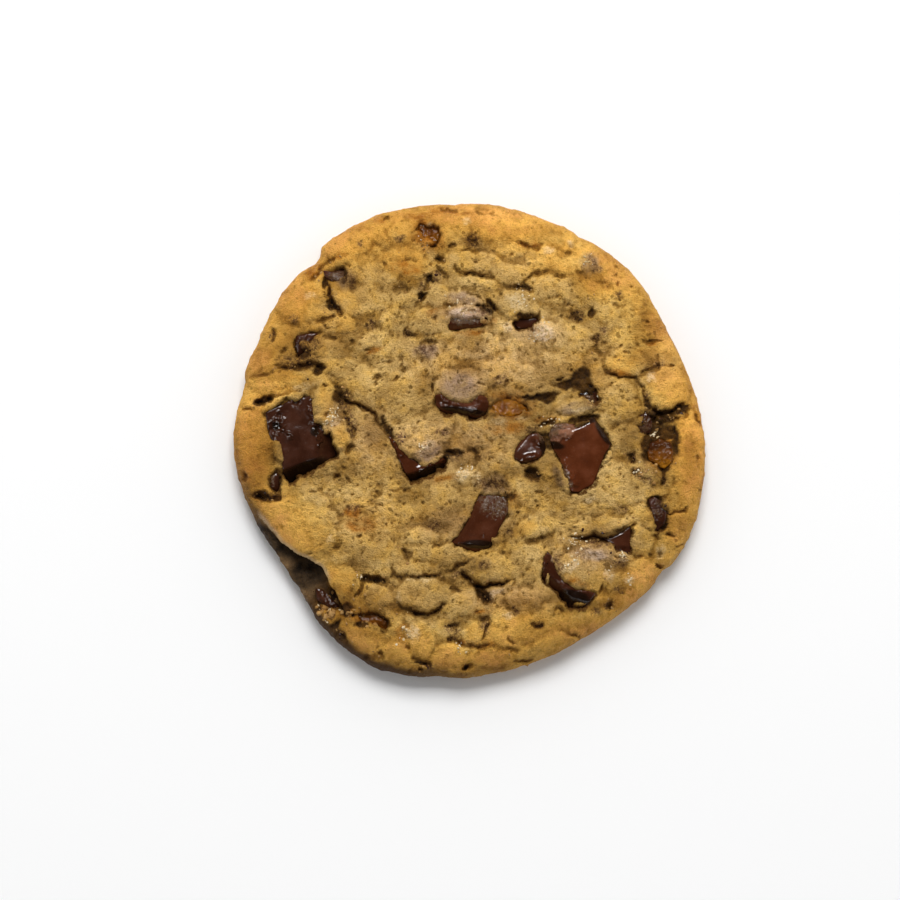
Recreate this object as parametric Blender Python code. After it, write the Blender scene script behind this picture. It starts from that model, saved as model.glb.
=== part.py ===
"""Chocolate chunk cookie with soft caramel pieces, lying flat on its baked underside.

The dough is one body: a round of uneven outline, domed towards the middle, with risen lumps on top
and a lobe that has slumped over a recess on one side of the rim. Each chocolate chunk and caramel
piece sits in its own pocket of the dough. Run it with: blender --background --python part.py
"""

import math

import bmesh
import bpy
from mathutils import Matrix, Vector, noise

MM = 0.001

# Driving dimensions, in millimetres.
PLATEAU = 9.6  # height of the flat part of the top above the table
LIP = 3.2  # height of the widest line of the rim
DOME_POWER = 5.0  # how late the top starts to fall towards the rim
DOME_ROUNDING = 0.6
UNDULATION = 0.45  # gentle unevenness of the top
UNDULATION_LENGTH = 9.0
CHUNK_GAP = 0.35  # clearance between a chunk and its pocket
CUTTER_TOP = 16.0
TOP_CELLS = 48  # quads across the top surface
SMALLEST_PIECE = 1e-6  # metres, the distance at which duplicate points are merged

# The underside curves in from the widest line to a flat base: (share of the outline, height).
SIDE_PROFILE = [(0.998, 2.1), (0.988, 1.0), (0.972, 0.3), (0.955, 0.0)]

# The outline, counter-clockwise from +X. Its nicks are where the edge cracked as it spread.
OUTLINE = [
    (44.9, 0.0), (44.5, 2.0), (44.2, 4.3), (43.4, 8.0), (41.9, 12.2), (40.4, 15.9), (37.9, 20.8),
    (35.2, 26.0), (33.0, 29.8), (30.2, 33.0), (26.6, 35.9), (22.8, 38.4), (21.3, 38.7), (19.4, 40.3),
    (15.5, 41.9), (9.0, 44.1), (3.5, 45.3), (-2.4, 45.3), (-3.5, 44.9), (-4.8, 45.3), (-11.4, 44.6),
    (-17.4, 43.2), (-22.6, 40.8), (-28.0, 37.4), (-28.7, 36.2), (-28.7, 34.2), (-32.6, 31.9),
    (-35.2, 28.9), (-38.2, 23.8), (-40.6, 18.2), (-42.9, 13.2), (-42.7, 10.3), (-44.3, 6.0),
    (-45.1, 0.5), (-44.6, -5.0), (-43.0, -10.4), (-40.3, -16.2), (-36.6, -21.9), (-33.0, -26.8),
    (-31.3, -30.4), (-28.2, -35.3), (-23.4, -39.9), (-18.4, -43.1), (-12.0, -44.8), (-6.0, -44.9),
    (-1.5, -45.3), (3.0, -44.6), (10.0, -42.9), (17.5, -40.0), (21.4, -37.6), (24.6, -35.8),
    (30.0, -31.9), (34.6, -28.0), (36.4, -24.9), (38.6, -23.6), (41.1, -19.8), (43.2, -14.8),
    (44.6, -8.0),
]  # fmt: skip

# Risen lumps: centre x, y, half length, half width, heading in degrees, height.
LUMPS = [
    (-33, -15, 9.0, 6.5, -45, 1.6), (-40, -2, 9.0, 4.5, 90, 1.2), (-2.5, 9.5, 5.0, 3.6, 0, 1.3),
    (-9, -0.5, 4.5, 4.0, 20, 1.3), (21, -25, 6.0, 3.8, -20, 1.5), (3, -24.5, 6.5, 3.2, 0, 1.2),
    (-9, -29.5, 6.5, 3.6, 0, 1.3), (-1, 24.5, 5.0, 4.0, 0, 1.2), (8.5, 26, 4.2, 3.4, 0, 1.0),
    (8, 15, 9.0, 6.0, 0, 0.9), (-20, 27, 7.5, 5.0, 20, 0.9), (37, 10, 5.8, 4.8, 0, 1.3),
    (19, 29, 8.0, 4.5, -20, 0.9), (26, -13, 9.0, 5.0, 0, 0.9), (-12, 33.5, 7.0, 4.5, -10, 0.9),
    (41, -8, 9.0, 4.0, 90, 1.0), (-19, -38, 5.5, 3.0, -30, 1.0), (-9, -38.5, 5.0, 3.2, 0, 1.0),
    (4, -41.5, 6.0, 2.4, 0, 0.9), (14, -36.5, 9.0, 3.4, 15, 0.8), (-24, -26, 6.0, 4.0, -30, 0.9),
]  # fmt: skip

# The slumped lobe ends on this line. Between it and the outline lies a ledge, lowest at one point
# and rising from there until it meets the rim.
LOBE_EDGE = [(-44.5, -9), (-41.6, -12.6), (-38.8, -16.4), (-36, -19.8), (-33, -22), (-30, -23.4),
             (-27.8, -24.8), (-26.8, -27.6), (-25.2, -30), (-24, -33), (-23.6, -37), (-22.8, -43)]  # fmt: skip
LEDGE_LOWEST = (-33.0, -24.5)
LEDGE_HEIGHT = 2.2
LEDGE_CLIMB = 0.26  # rise for each mm away from the lowest point
LEDGE_STEP = 2.4  # width over which the lobe drops to the ledge

CHOCOLATE = {"color": (0.072, 0.024, 0.011, 1), "roughness": 0.34}
CARAMEL = {"color": (0.19, 0.065, 0.008, 1), "roughness": 0.18}
DOUGH = {"color": (0.46, 0.26, 0.075, 1), "roughness": 0.78}

# Each piece: outline in mm, height of its floor, height of its top at its centre, slope of the top
# along x and y, and facets. A facet is (x, y, heading, steepness): from that point on, the top
# falls away towards the heading, in degrees.
CHUNKS = {
    "chunk_west": {
        "outline": [(-39, 5), (-35, 7), (-30.6, 8.2), (-29.8, 3), (-27.4, 2.2), (-25.7, -1), (-25.5, -3.1),
                    (-31, -6.6), (-34.6, -8.5), (-35.8, -6.5), (-35.9, -3), (-37.8, 0), (-38.8, 3)],
        "floor": 3.2, "top": 8.6, "slope": (0.03, 0.05),
        "facets": [(-30.5, -4.2, -75, 52), (-29.9, 3.4, 0, 32)],
    },
    "chunk_centre": {
        "outline": [(-7.1, 8.2), (-6.7, 6.1), (-5, 4.7), (-2, 4.7), (0.8, 3.7), (2.6, 4.5), (3.3, 6.1),
                    (3, 7.8), (1.6, 8.4), (-0.2, 6.7), (-2.4, 6.6), (-4.6, 7.5), (-6, 8.6)],
        "floor": 5.0, "top": 10.2, "slope": (0.0, 0.10),
        "facets": [(-2.0, 5.4, -100, 50), (1.9, 5.0, -50, 45), (-5.8, 6.2, -145, 42)],
    },
    "chunk_fold": {
        "outline": [(-15.9, 1.0), (-14.3, -3), (-13, -5.8), (-11.5, -8.3), (-10, -8), (-8, -6.8), (-5, -5.6),
                    (-4.6, -4.1), (-5.4, -3.6), (-7, -4.7), (-8.9, -5.4), (-10.8, -4), (-12.6, -2.9),
                    (-14, -1.6)],
        "floor": 4.6, "top": 9.2, "slope": (-0.05, 0.06),
        "facets": [(-11, -6.7, -60, 50), (-6.6, -5.2, -75, 55)],
    },
    "chunk_east_small": {
        "outline": [(8.1, -3.8), (8.3, -2), (9.5, -0.3), (11, 0.9), (12.5, 1.2), (13.5, 0.4), (13.9, -0.6),
                    (14.1, -2.2), (13, -3.3), (11.4, -4.3), (9.5, -4.6)],
        "floor": 5.2, "top": 9.8, "slope": (0.08, -0.05),
        "facets": [(11.2, -3.6, -70, 40), (9.3, -1.4, 140, 40), (13.0, -0.6, 15, 45)],
    },
    "chunk_east": {
        "outline": [(14.6, 1.2), (16, 2.7), (19.8, 2.8), (23.3, 4.2), (24.6, 2.4), (26.7, -0.9), (25.2, -3),
                    (24.3, -5.5), (23, -8.7), (20.5, -10.2), (18.8, -10), (17.5, -7), (16.9, -4),
                    (15.4, -1.8)],
        "floor": 3.6, "top": 10.3, "slope": (-0.02, 0.06),
        "facets": [(18.4, 0.9, 118, 26), (24.2, 0.8, 32, 40), (18.2, -5.5, 190, 30), (21.5, -9.3, -60, 40)],
    },
    "chunk_south": {
        "outline": [(1.6, -10.2), (6.6, -11), (7.2, -13.4), (5.2, -17.4), (3.8, -20.7), (0.5, -21.5),
                    (-4.2, -19.8), (-1.4, -16.6), (0.1, -13.6)],
        "floor": 3.8, "top": 9.8, "slope": (0.02, 0.04),
        "facets": [(-0.5, -19.9, -95, 45), (-1.2, -17.6, 150, 40), (3.2, -19.9, -50, 40)],
    },
    "chunk_southeast": {
        "outline": [(14.4, -21.3), (13.7, -23), (13.4, -26.4), (14.1, -27.5), (16.2, -28.8), (17.3, -30.8),
                    (18.8, -32.1), (21.4, -32.2), (22.4, -31), (23.6, -29.3), (22, -28.9), (20, -28.7),
                    (18.4, -27.9), (16.9, -26.3), (15.8, -24.4), (15.3, -22.2)],
        "floor": 3.6, "top": 8.9, "slope": (-0.05, 0.13),
        "facets": [(16.6, -27.4, -125, 48), (19.6, -30.0, -100, 50), (13.9, -24.5, 185, 60)],
    },
    "chunk_northwest": {
        "outline": [(-28.2, 32.3), (-26.2, 32), (-23.7, 33.2), (-24, 31.5), (-24.3, 30.2), (-26.3, 30.1),
                    (-27.7, 30.7)],
        "floor": 2.8, "top": 6.8, "slope": (0.12, -0.14),
        "facets": [(-25.6, 31.6, 80, 35)],
    },
    "chunk_northwest_low": {
        "outline": [(-33.2, 19.7), (-31.2, 20.1), (-28.9, 20.1), (-30.4, 18.7), (-31.3, 16.8), (-32.8, 15.6),
                    (-33.5, 17.5)],
        "floor": 3.6, "top": 7.6, "slope": (0.05, 0.05),
        "facets": [(-31.8, 17.2, -60, 38)],
    },
    "chunk_west_low": {
        "outline": [(-38, -7.2), (-36.8, -6.2), (-36.3, -7.3), (-36, -9.2), (-36.8, -10.2), (-38, -9.2)],
        "floor": 3.4, "top": 7.0, "slope": (0.05, 0.08),
        "facets": [(-36.9, -8.6, -50, 35)],
    },
    "chunk_crack": {
        "outline": [(30.4, -16.4), (28.8, -17.4), (26.6, -18.6), (25, -18.9), (27.2, -20.2), (27.3, -22.1),
                    (29, -21.8), (30.5, -21.8), (30.3, -19)],
        "floor": 3.6, "top": 7.8, "slope": (0.0, 0.06),
        "facets": [(28.6, -20.2, -90, 35)],
    },
    "chunk_hollow": {
        "outline": [(21, 12.6), (22.2, 11.4), (23.5, 9.4), (24.6, 7.4), (23, 6.6), (21.2, 8.2), (19.4, 9.4),
                    (20.2, 11)],
        "floor": 4.0, "top": 8.4, "slope": (0.0, -0.12),
        "facets": [(22.6, 8.0, -60, 30)],
    },
    "chunk_north": {
        "outline": [(-4.3, 20.6), (-1.8, 20.7), (2.0, 21.4), (3.0, 22.8), (3.2, 24.1), (0.4, 24.7),
                    (-4.2, 24.3), (-4.8, 22.4)],
        "floor": 4.6, "top": 10.2, "slope": (0.0, 0.04),
        "facets": [(-1.2, 21.8, -90, 48), (0.0, 24.0, 90, 35)],
    },
    "chunk_north_deep": {
        "outline": [(7.8, 22.7), (10.2, 22.9), (12.7, 23.3), (12.4, 21.6), (11.6, 21), (9, 21), (8.2, 21.9)],
        "floor": 4.4, "top": 8.2, "slope": (0.0, -0.05),
        "facets": [(11.0, 21.8, -60, 25)],
    },
    "chunk_rim_east": {
        "outline": [(31.9, 4.4), (33.4, 5.4), (34.4, 4.2), (34.6, 2.4), (33.9, 1.0), (32.2, 1.2), (31.6, 2.8)],
        "floor": 4.0, "top": 8.4, "slope": (-0.03, 0.05),
        "facets": [(33.0, 2.2, -80, 30)],
    },
    "chunk_rim_southeast": {
        "outline": [(33.6, -11.4), (35.0, -10.8), (36.4, -11.8), (37.2, -13.8), (36.8, -16), (35.4, -17.6),
                    (34.8, -15.6), (34.2, -13.6)],
        "floor": 3.6, "top": 8.0, "slope": (-0.08, 0.05),
        "facets": [(35.6, -15.6, -80, 30)],
    },
    "chunk_ledge": {
        "outline": [(-29.6, -28.2), (-28.2, -28.4), (-26.2, -30.4), (-24.6, -31.8), (-25.4, -32.5),
                    (-27.2, -32.0), (-29.2, -30.6)],
        "floor": 1.2, "top": 4.6, "slope": (0.05, 0.05),
        "facets": [(-28.2, -30.4, -130, 35)],
    },
}  # fmt: skip

CARAMELS = {
    "caramel_north": {
        "outline": [(-10.1, 41.4), (-8, 41.2), (-6, 40.4), (-5.9, 38.4), (-6.8, 36.8), (-9, 37), (-10.9, 38.2),
                    (-10.6, 39.8)],
        "floor": 2.6, "top": 6.0, "slope": (0.0, -0.22), "facets": [(-8.4, 38.0, -90, 14)],
    },
    "caramel_centre": {
        "outline": [(3.8, 6.4), (5.2, 7.6), (7.4, 7.6), (9.6, 6.7), (11.0, 5.4), (9.4, 4.4), (6.8, 4.1),
                    (4.6, 4.8)],
        "floor": 5.4, "top": 9.2, "slope": (0.0, 0.05), "facets": [(8.4, 5.0, -60, 15)],
    },
    "caramel_east": {
        "outline": [(33.4, -2.4), (34.2, -0.5), (36, 0.2), (37.9, -0.6), (38.5, -2.5), (38.2, -4.2),
                    (36.8, -5.6), (35.2, -4.7), (33.7, -4)],
        "floor": 3.4, "top": 8.4, "slope": (-0.04, -0.04),
        "facets": [(36.2, -3.8, -80, 25), (35.8, -0.9, 90, 30)],
    },
    "caramel_southwest": {
        "outline": [(-22.3, -33.4), (-20.4, -32.8), (-18.2, -33.2), (-16.4, -34.0), (-15.0, -35.6),
                    (-16.6, -36.6), (-19.4, -35.4), (-21.8, -34.8)],
        "floor": 3.6, "top": 6.4, "slope": (0.02, 0.06), "facets": [(-18.4, -34.8, -90, 20)],
    },
}  # fmt: skip


def clear_scene():
    for obj in list(bpy.data.objects):
        bpy.data.objects.remove(obj)


def make_collection(name):
    collection = bpy.data.collections.new(name)
    bpy.context.scene.collection.children.link(collection)
    return collection


def make_material(name, look):
    material = bpy.data.materials.new(name)
    material.use_nodes = True
    shader = material.node_tree.nodes["Principled BSDF"]
    shader.inputs["Base Color"].default_value = look["color"]
    shader.inputs["Roughness"].default_value = look["roughness"]
    shader.inputs["Metallic"].default_value = 0.0
    material.diffuse_color = look["color"]
    return material


def smoothstep(low, high, value):
    share = min(1.0, max(0.0, (value - low) / (high - low)))
    return share * share * (3 - 2 * share)


def outline_by_angle():
    """The outline as (angle, radius) pairs in rising order, with one more pair at each end."""
    turn = 2 * math.pi
    polar = sorted((math.atan2(y, x) % turn, math.hypot(x, y)) for x, y in OUTLINE)
    return [(polar[-1][0] - turn, polar[-1][1])] + polar + [(a + turn, r) for a, r in polar[:2]]


OUTLINE_BY_ANGLE = outline_by_angle()


def outline_radius(angle):
    """Radius of the outline at an angle, on straight runs in polar terms softened at their ends."""
    angle %= 2 * math.pi
    for (a0, r0), (a1, r1) in zip(OUTLINE_BY_ANGLE, OUTLINE_BY_ANGLE[1:]):
        if a0 <= angle < a1:
            return r0 + (r1 - r0) * (0.5 * smoothstep(a0, a1, angle) + 0.5 * (angle - a0) / (a1 - a0))
    return OUTLINE_BY_ANGLE[0][1]


def on_disc(u, v):
    """(share of the radius, angle) for a point of the square -1 to 1, cells keeping an even size."""
    if u == 0 and v == 0:
        return 0.0, 0.0
    if abs(u) > abs(v):
        radius, angle = u, math.pi / 4 * v / u
    else:
        radius, angle = v, math.pi / 2 - math.pi / 4 * u / v
    return abs(radius), angle if radius > 0 else angle + math.pi


def lump_height(x, y):
    """Height that the tallest lump over this point adds. Lumps meet in creases."""
    best = 0.0
    for cx, cy, length, width, heading, height in LUMPS:
        turn = math.radians(heading)
        along = ((x - cx) * math.cos(turn) + (y - cy) * math.sin(turn)) / length
        across = ((y - cy) * math.cos(turn) - (x - cx) * math.sin(turn)) / width
        reach = along * along + across * across
        if reach < 1:
            best = max(best, height * (1 - reach * reach))
    return best


def beyond_lobe(x, y):
    """Distance of a point past the lobe's edge, towards the outline. It is negative on the lobe."""
    nearest, side = 1e9, -1.0
    for (x0, y0), (x1, y1) in zip(LOBE_EDGE, LOBE_EDGE[1:]):
        run, rise = x1 - x0, y1 - y0
        share = min(1.0, max(0.0, ((x - x0) * run + (y - y0) * rise) / (run * run + rise * rise)))
        gap = math.hypot(x - x0 - share * run, y - y0 - share * rise)
        if gap < nearest:
            nearest = gap
            side = 1.0 if run * (y - y0) - rise * (x - x0) < 0 else -1.0
    return side * nearest


def top_height(x, y, share):
    """Height of the dough's top at a point, share being its distance out towards the outline."""
    dome = (1 - share**DOME_POWER) ** DOME_ROUNDING
    wave = UNDULATION * noise.noise(Vector((x, y, 0)) / UNDULATION_LENGTH)
    height = LIP + (PLATEAU - LIP + lump_height(x, y) + wave) * dome
    from_lowest = math.hypot(x - LEDGE_LOWEST[0], y - LEDGE_LOWEST[1])
    ledge = min(height, LEDGE_HEIGHT + LEDGE_CLIMB * from_lowest)
    return height + (ledge - height) * smoothstep(-LEDGE_STEP / 2, LEDGE_STEP / 2, beyond_lobe(x, y))


def dough_point(u, v):
    share, angle = on_disc(u, v)
    radius = share * outline_radius(angle)
    x, y = radius * math.cos(angle), radius * math.sin(angle)
    return Vector((x, y, top_height(x, y, share))) * MM


def add_side(bm):
    """Carries the rim of the top down and inwards along SIDE_PROFILE and closes the flat base."""
    rim = [edge for edge in bm.edges if edge.is_boundary]
    share_above = 1.0
    for share, height in SIDE_PROFILE:
        made = bmesh.ops.extrude_edge_only(bm, edges=rim)["geom"]
        rim = [item for item in made if isinstance(item, bmesh.types.BMEdge)]
        shrink = share / share_above
        for vert in {vert for edge in rim for vert in edge.verts}:
            vert.co = (vert.co.x * shrink, vert.co.y * shrink, height * MM)
        share_above = share
    bmesh.ops.contextual_create(bm, geom=rim)


def make_dough(collection, material):
    bm = bmesh.new()
    bmesh.ops.create_grid(bm, x_segments=TOP_CELLS, y_segments=TOP_CELLS, size=1.0)
    for vert in bm.verts:
        vert.co = dough_point(vert.co.x, vert.co.y)
    add_side(bm)
    bmesh.ops.recalc_face_normals(bm, faces=bm.faces)
    return object_from(bm, "dough", collection, material)


def object_from(bm, name, collection, material=None):
    mesh = bpy.data.meshes.new(name)
    bm.to_mesh(mesh)
    bm.free()
    if material:
        mesh.materials.append(material)
    mesh.shade_smooth()
    mesh.set_sharp_from_angle(angle=math.radians(40))
    obj = bpy.data.objects.new(name, mesh)
    collection.objects.link(obj)
    return obj


def widened(outline, by):
    """The outline with each side moved out by a distance, corners mitred."""
    moved = []
    area = sum(x0 * y1 - x1 * y0 for (x0, y0), (x1, y1) in zip(outline, outline[1:] + outline[:1]))
    turn = 1.0 if area > 0 else -1.0
    for before, here, after in zip(outline[-1:] + outline[:-1], outline, outline[1:] + outline[:1]):
        arrive = (Vector(here) - Vector(before)).normalized()
        leave = (Vector(after) - Vector(here)).normalized()
        out = Vector((arrive.y + leave.y, -arrive.x - leave.x)).normalized() * turn
        cosine = max(0.45, out.dot(Vector((leave.y, -leave.x)) * turn))
        moved.append((here[0] + out.x * by / cosine, here[1] + out.y * by / cosine))
    return moved


def prism(name, outline, low, high, collection):
    """A closed mesh from an outline drawn as a flat curve, standing from low to high."""
    curve = bpy.data.curves.new(name, "CURVE")
    curve.dimensions = "2D"
    curve.fill_mode = "BOTH"
    curve.extrude = (high - low) / 2 * MM
    spline = curve.splines.new("POLY")
    spline.points.add(len(outline) - 1)
    for point, (x, y) in zip(spline.points, outline):
        point.co = (x * MM, y * MM, 0, 1)
    spline.use_cyclic_u = True
    drawn = bpy.data.objects.new(name, curve)
    drawn.location.z = (low + high) / 2 * MM
    collection.objects.link(drawn)
    bpy.context.view_layer.update()
    graph = bpy.context.evaluated_depsgraph_get()
    mesh = bpy.data.meshes.new_from_object(drawn.evaluated_get(graph))
    mesh.transform(drawn.matrix_world)
    bpy.data.objects.remove(drawn)
    bm = bmesh.new()
    bm.from_mesh(mesh)
    bpy.data.meshes.remove(mesh)
    bmesh.ops.remove_doubles(bm, verts=bm.verts, dist=SMALLEST_PIECE)
    bmesh.ops.recalc_face_normals(bm, faces=bm.faces)
    return bm


def cut_above(bm, point, normal):
    """Removes what lies beyond a plane and closes the cut with one flat facet."""
    geometry = list(bm.verts) + list(bm.edges) + list(bm.faces)
    cut = bmesh.ops.bisect_plane(
        bm, geom=geometry, plane_co=point * MM, plane_no=normal, clear_outer=True, dist=SMALLEST_PIECE
    )["geom_cut"]
    edges = [item for item in cut if isinstance(item, bmesh.types.BMEdge)]
    if edges:
        bmesh.ops.holes_fill(bm, edges=edges, sides=0)
        bmesh.ops.remove_doubles(bm, verts=bm.verts, dist=SMALLEST_PIECE)
        bmesh.ops.recalc_face_normals(bm, faces=bm.faces)


def make_piece(name, spec, collection, cutters, material, dough):
    """One chunk or caramel piece, and the pocket it sits in."""
    outline = spec["outline"]
    centre_x = sum(x for x, _ in outline) / len(outline)
    centre_y = sum(y for _, y in outline) / len(outline)
    slope_x, slope_y = spec["slope"]
    bm = prism(name, outline, spec["floor"], CUTTER_TOP, collection)
    cut_above(bm, Vector((centre_x, centre_y, spec["top"])), Vector((-slope_x, -slope_y, 1)))
    for x, y, heading, steepness in spec["facets"]:
        height = spec["top"] + (x - centre_x) * slope_x + (y - centre_y) * slope_y
        normal = Vector((math.tan(math.radians(steepness)), 0, 1))
        normal.rotate(Matrix.Rotation(math.radians(heading), 3, "Z"))
        cut_above(bm, Vector((x, y, height)), normal)
    object_from(bm, name, collection, material)

    hollow = prism(name, widened(outline, CHUNK_GAP), spec["floor"] - CHUNK_GAP, CUTTER_TOP, cutters)
    cutter = object_from(hollow, name + "_pocket", cutters)
    cutter.hide_render = True
    cutter.display_type = "WIRE"
    pocket = dough.modifiers.new(name + "_pocket", "BOOLEAN")
    pocket.operation = "DIFFERENCE"
    pocket.object = cutter


def main():
    clear_scene()
    cookie = make_collection("chocolate_chunk_cookie")
    cutters = make_collection("pockets")
    dough = make_dough(cookie, make_material("dough", DOUGH))
    chocolate = make_material("chocolate", CHOCOLATE)
    caramel = make_material("caramel", CARAMEL)
    for name, spec in CHUNKS.items():
        make_piece(name, spec, cookie, cutters, chocolate, dough)
    for name, spec in CARAMELS.items():
        make_piece(name, spec, cookie, cutters, caramel, dough)


main()
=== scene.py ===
"""The looks of a chocolate chunk cookie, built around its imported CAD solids.

The dough is one closed mesh. Its dense top adds up from a dome, risen plates, cracks, pits and crumb,
and it sinks where a chunk shows. The chunks and caramel pieces are the CAD solids, softened and given
melted or broken surfaces. Lengths are in millimetres until a mesh is made.
"""

import math
import random

import bmesh
import bpy
import numpy as np
from mathutils import Matrix, Vector
from mathutils.bvhtree import BVHTree


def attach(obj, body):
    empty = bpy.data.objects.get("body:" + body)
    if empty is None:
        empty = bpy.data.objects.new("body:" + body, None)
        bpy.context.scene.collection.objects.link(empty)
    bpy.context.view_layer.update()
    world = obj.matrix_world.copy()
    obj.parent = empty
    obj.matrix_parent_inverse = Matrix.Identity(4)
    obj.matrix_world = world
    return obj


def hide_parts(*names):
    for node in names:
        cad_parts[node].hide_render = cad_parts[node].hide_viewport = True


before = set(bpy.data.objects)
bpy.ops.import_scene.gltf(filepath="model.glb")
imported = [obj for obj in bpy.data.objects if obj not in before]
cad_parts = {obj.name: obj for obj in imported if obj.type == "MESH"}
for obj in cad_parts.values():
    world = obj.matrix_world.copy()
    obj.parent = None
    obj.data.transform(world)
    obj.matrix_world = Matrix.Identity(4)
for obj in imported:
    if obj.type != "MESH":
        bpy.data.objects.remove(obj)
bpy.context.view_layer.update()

MM = 0.001

# The dough's form, as in the CAD.
PLATEAU = 9.6  # height of the flat part of the top
LIP = 3.2  # height of the widest line of the rim
DOME_POWER = 5.0
DOME_ROUNDING = 0.6
LOBE_EDGE = [(-44.5, -9), (-41.6, -12.6), (-38.8, -16.4), (-36, -19.8), (-33, -22), (-30.6, -23.1),
             (-28.8, -24.2), (-27.7, -25.7), (-27, -27.6), (-25.4, -30), (-24, -33), (-23.6, -37),
             (-22.8, -43)]
LEDGE_LOWEST = (-33.0, -24.5)
LEDGE_HEIGHT = 2.2
LEDGE_CLIMB = 0.26
OVERHANG = 1.9  # how far the ledge goes in under the lobe
UNDER_LOBE = (0.62, 0.78)  # the direction from the ledge in under the lobe

LOBE_MIDDLE = (-35.5, -22.5)  # of the stretch of the lobe's edge that stands clear of the ledge
DARKEST_SHADE_SPOT = (-31.6, -26.2, 3.6, 2.4, -40)  # where the painted shade on the ledge is darkest: x, y, half length, half width, heading
SHADED_SOLE_HEADING = -130  # degrees; where the cookie's brown underside shows at its edge, darkened there with painted shade
MEAN_RADIUS = 45
NEARBY = 14  # no piece, crack or ridge goes further than this from its middle

TOP_CELLS = 272  # quads across the top
# The side, below the widest line, and the underside: (share of the outline, height).
SIDE = [(1.001, 2.7), (1.0, 2.2), (0.996, 1.7), (0.99, 1.2), (0.983, 0.8), (0.974, 0.4), (0.965, 0.12),
        (0.95, 0.0), (0.9, 0.0), (0.75, 0.0), (0.5, 0.0), (0.25, 0.0)]
SIDE_MASKS = ("rim", "under", "ledge", "shaded_sole")  # the masks that go on down the side

CHUNKS = [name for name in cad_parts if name.startswith("chunk_")]
CARAMELS = [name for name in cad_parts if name.startswith("caramel_")]

# In the tables below a patch is x, y, half length, half width and, where it is turned, a heading.

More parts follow.
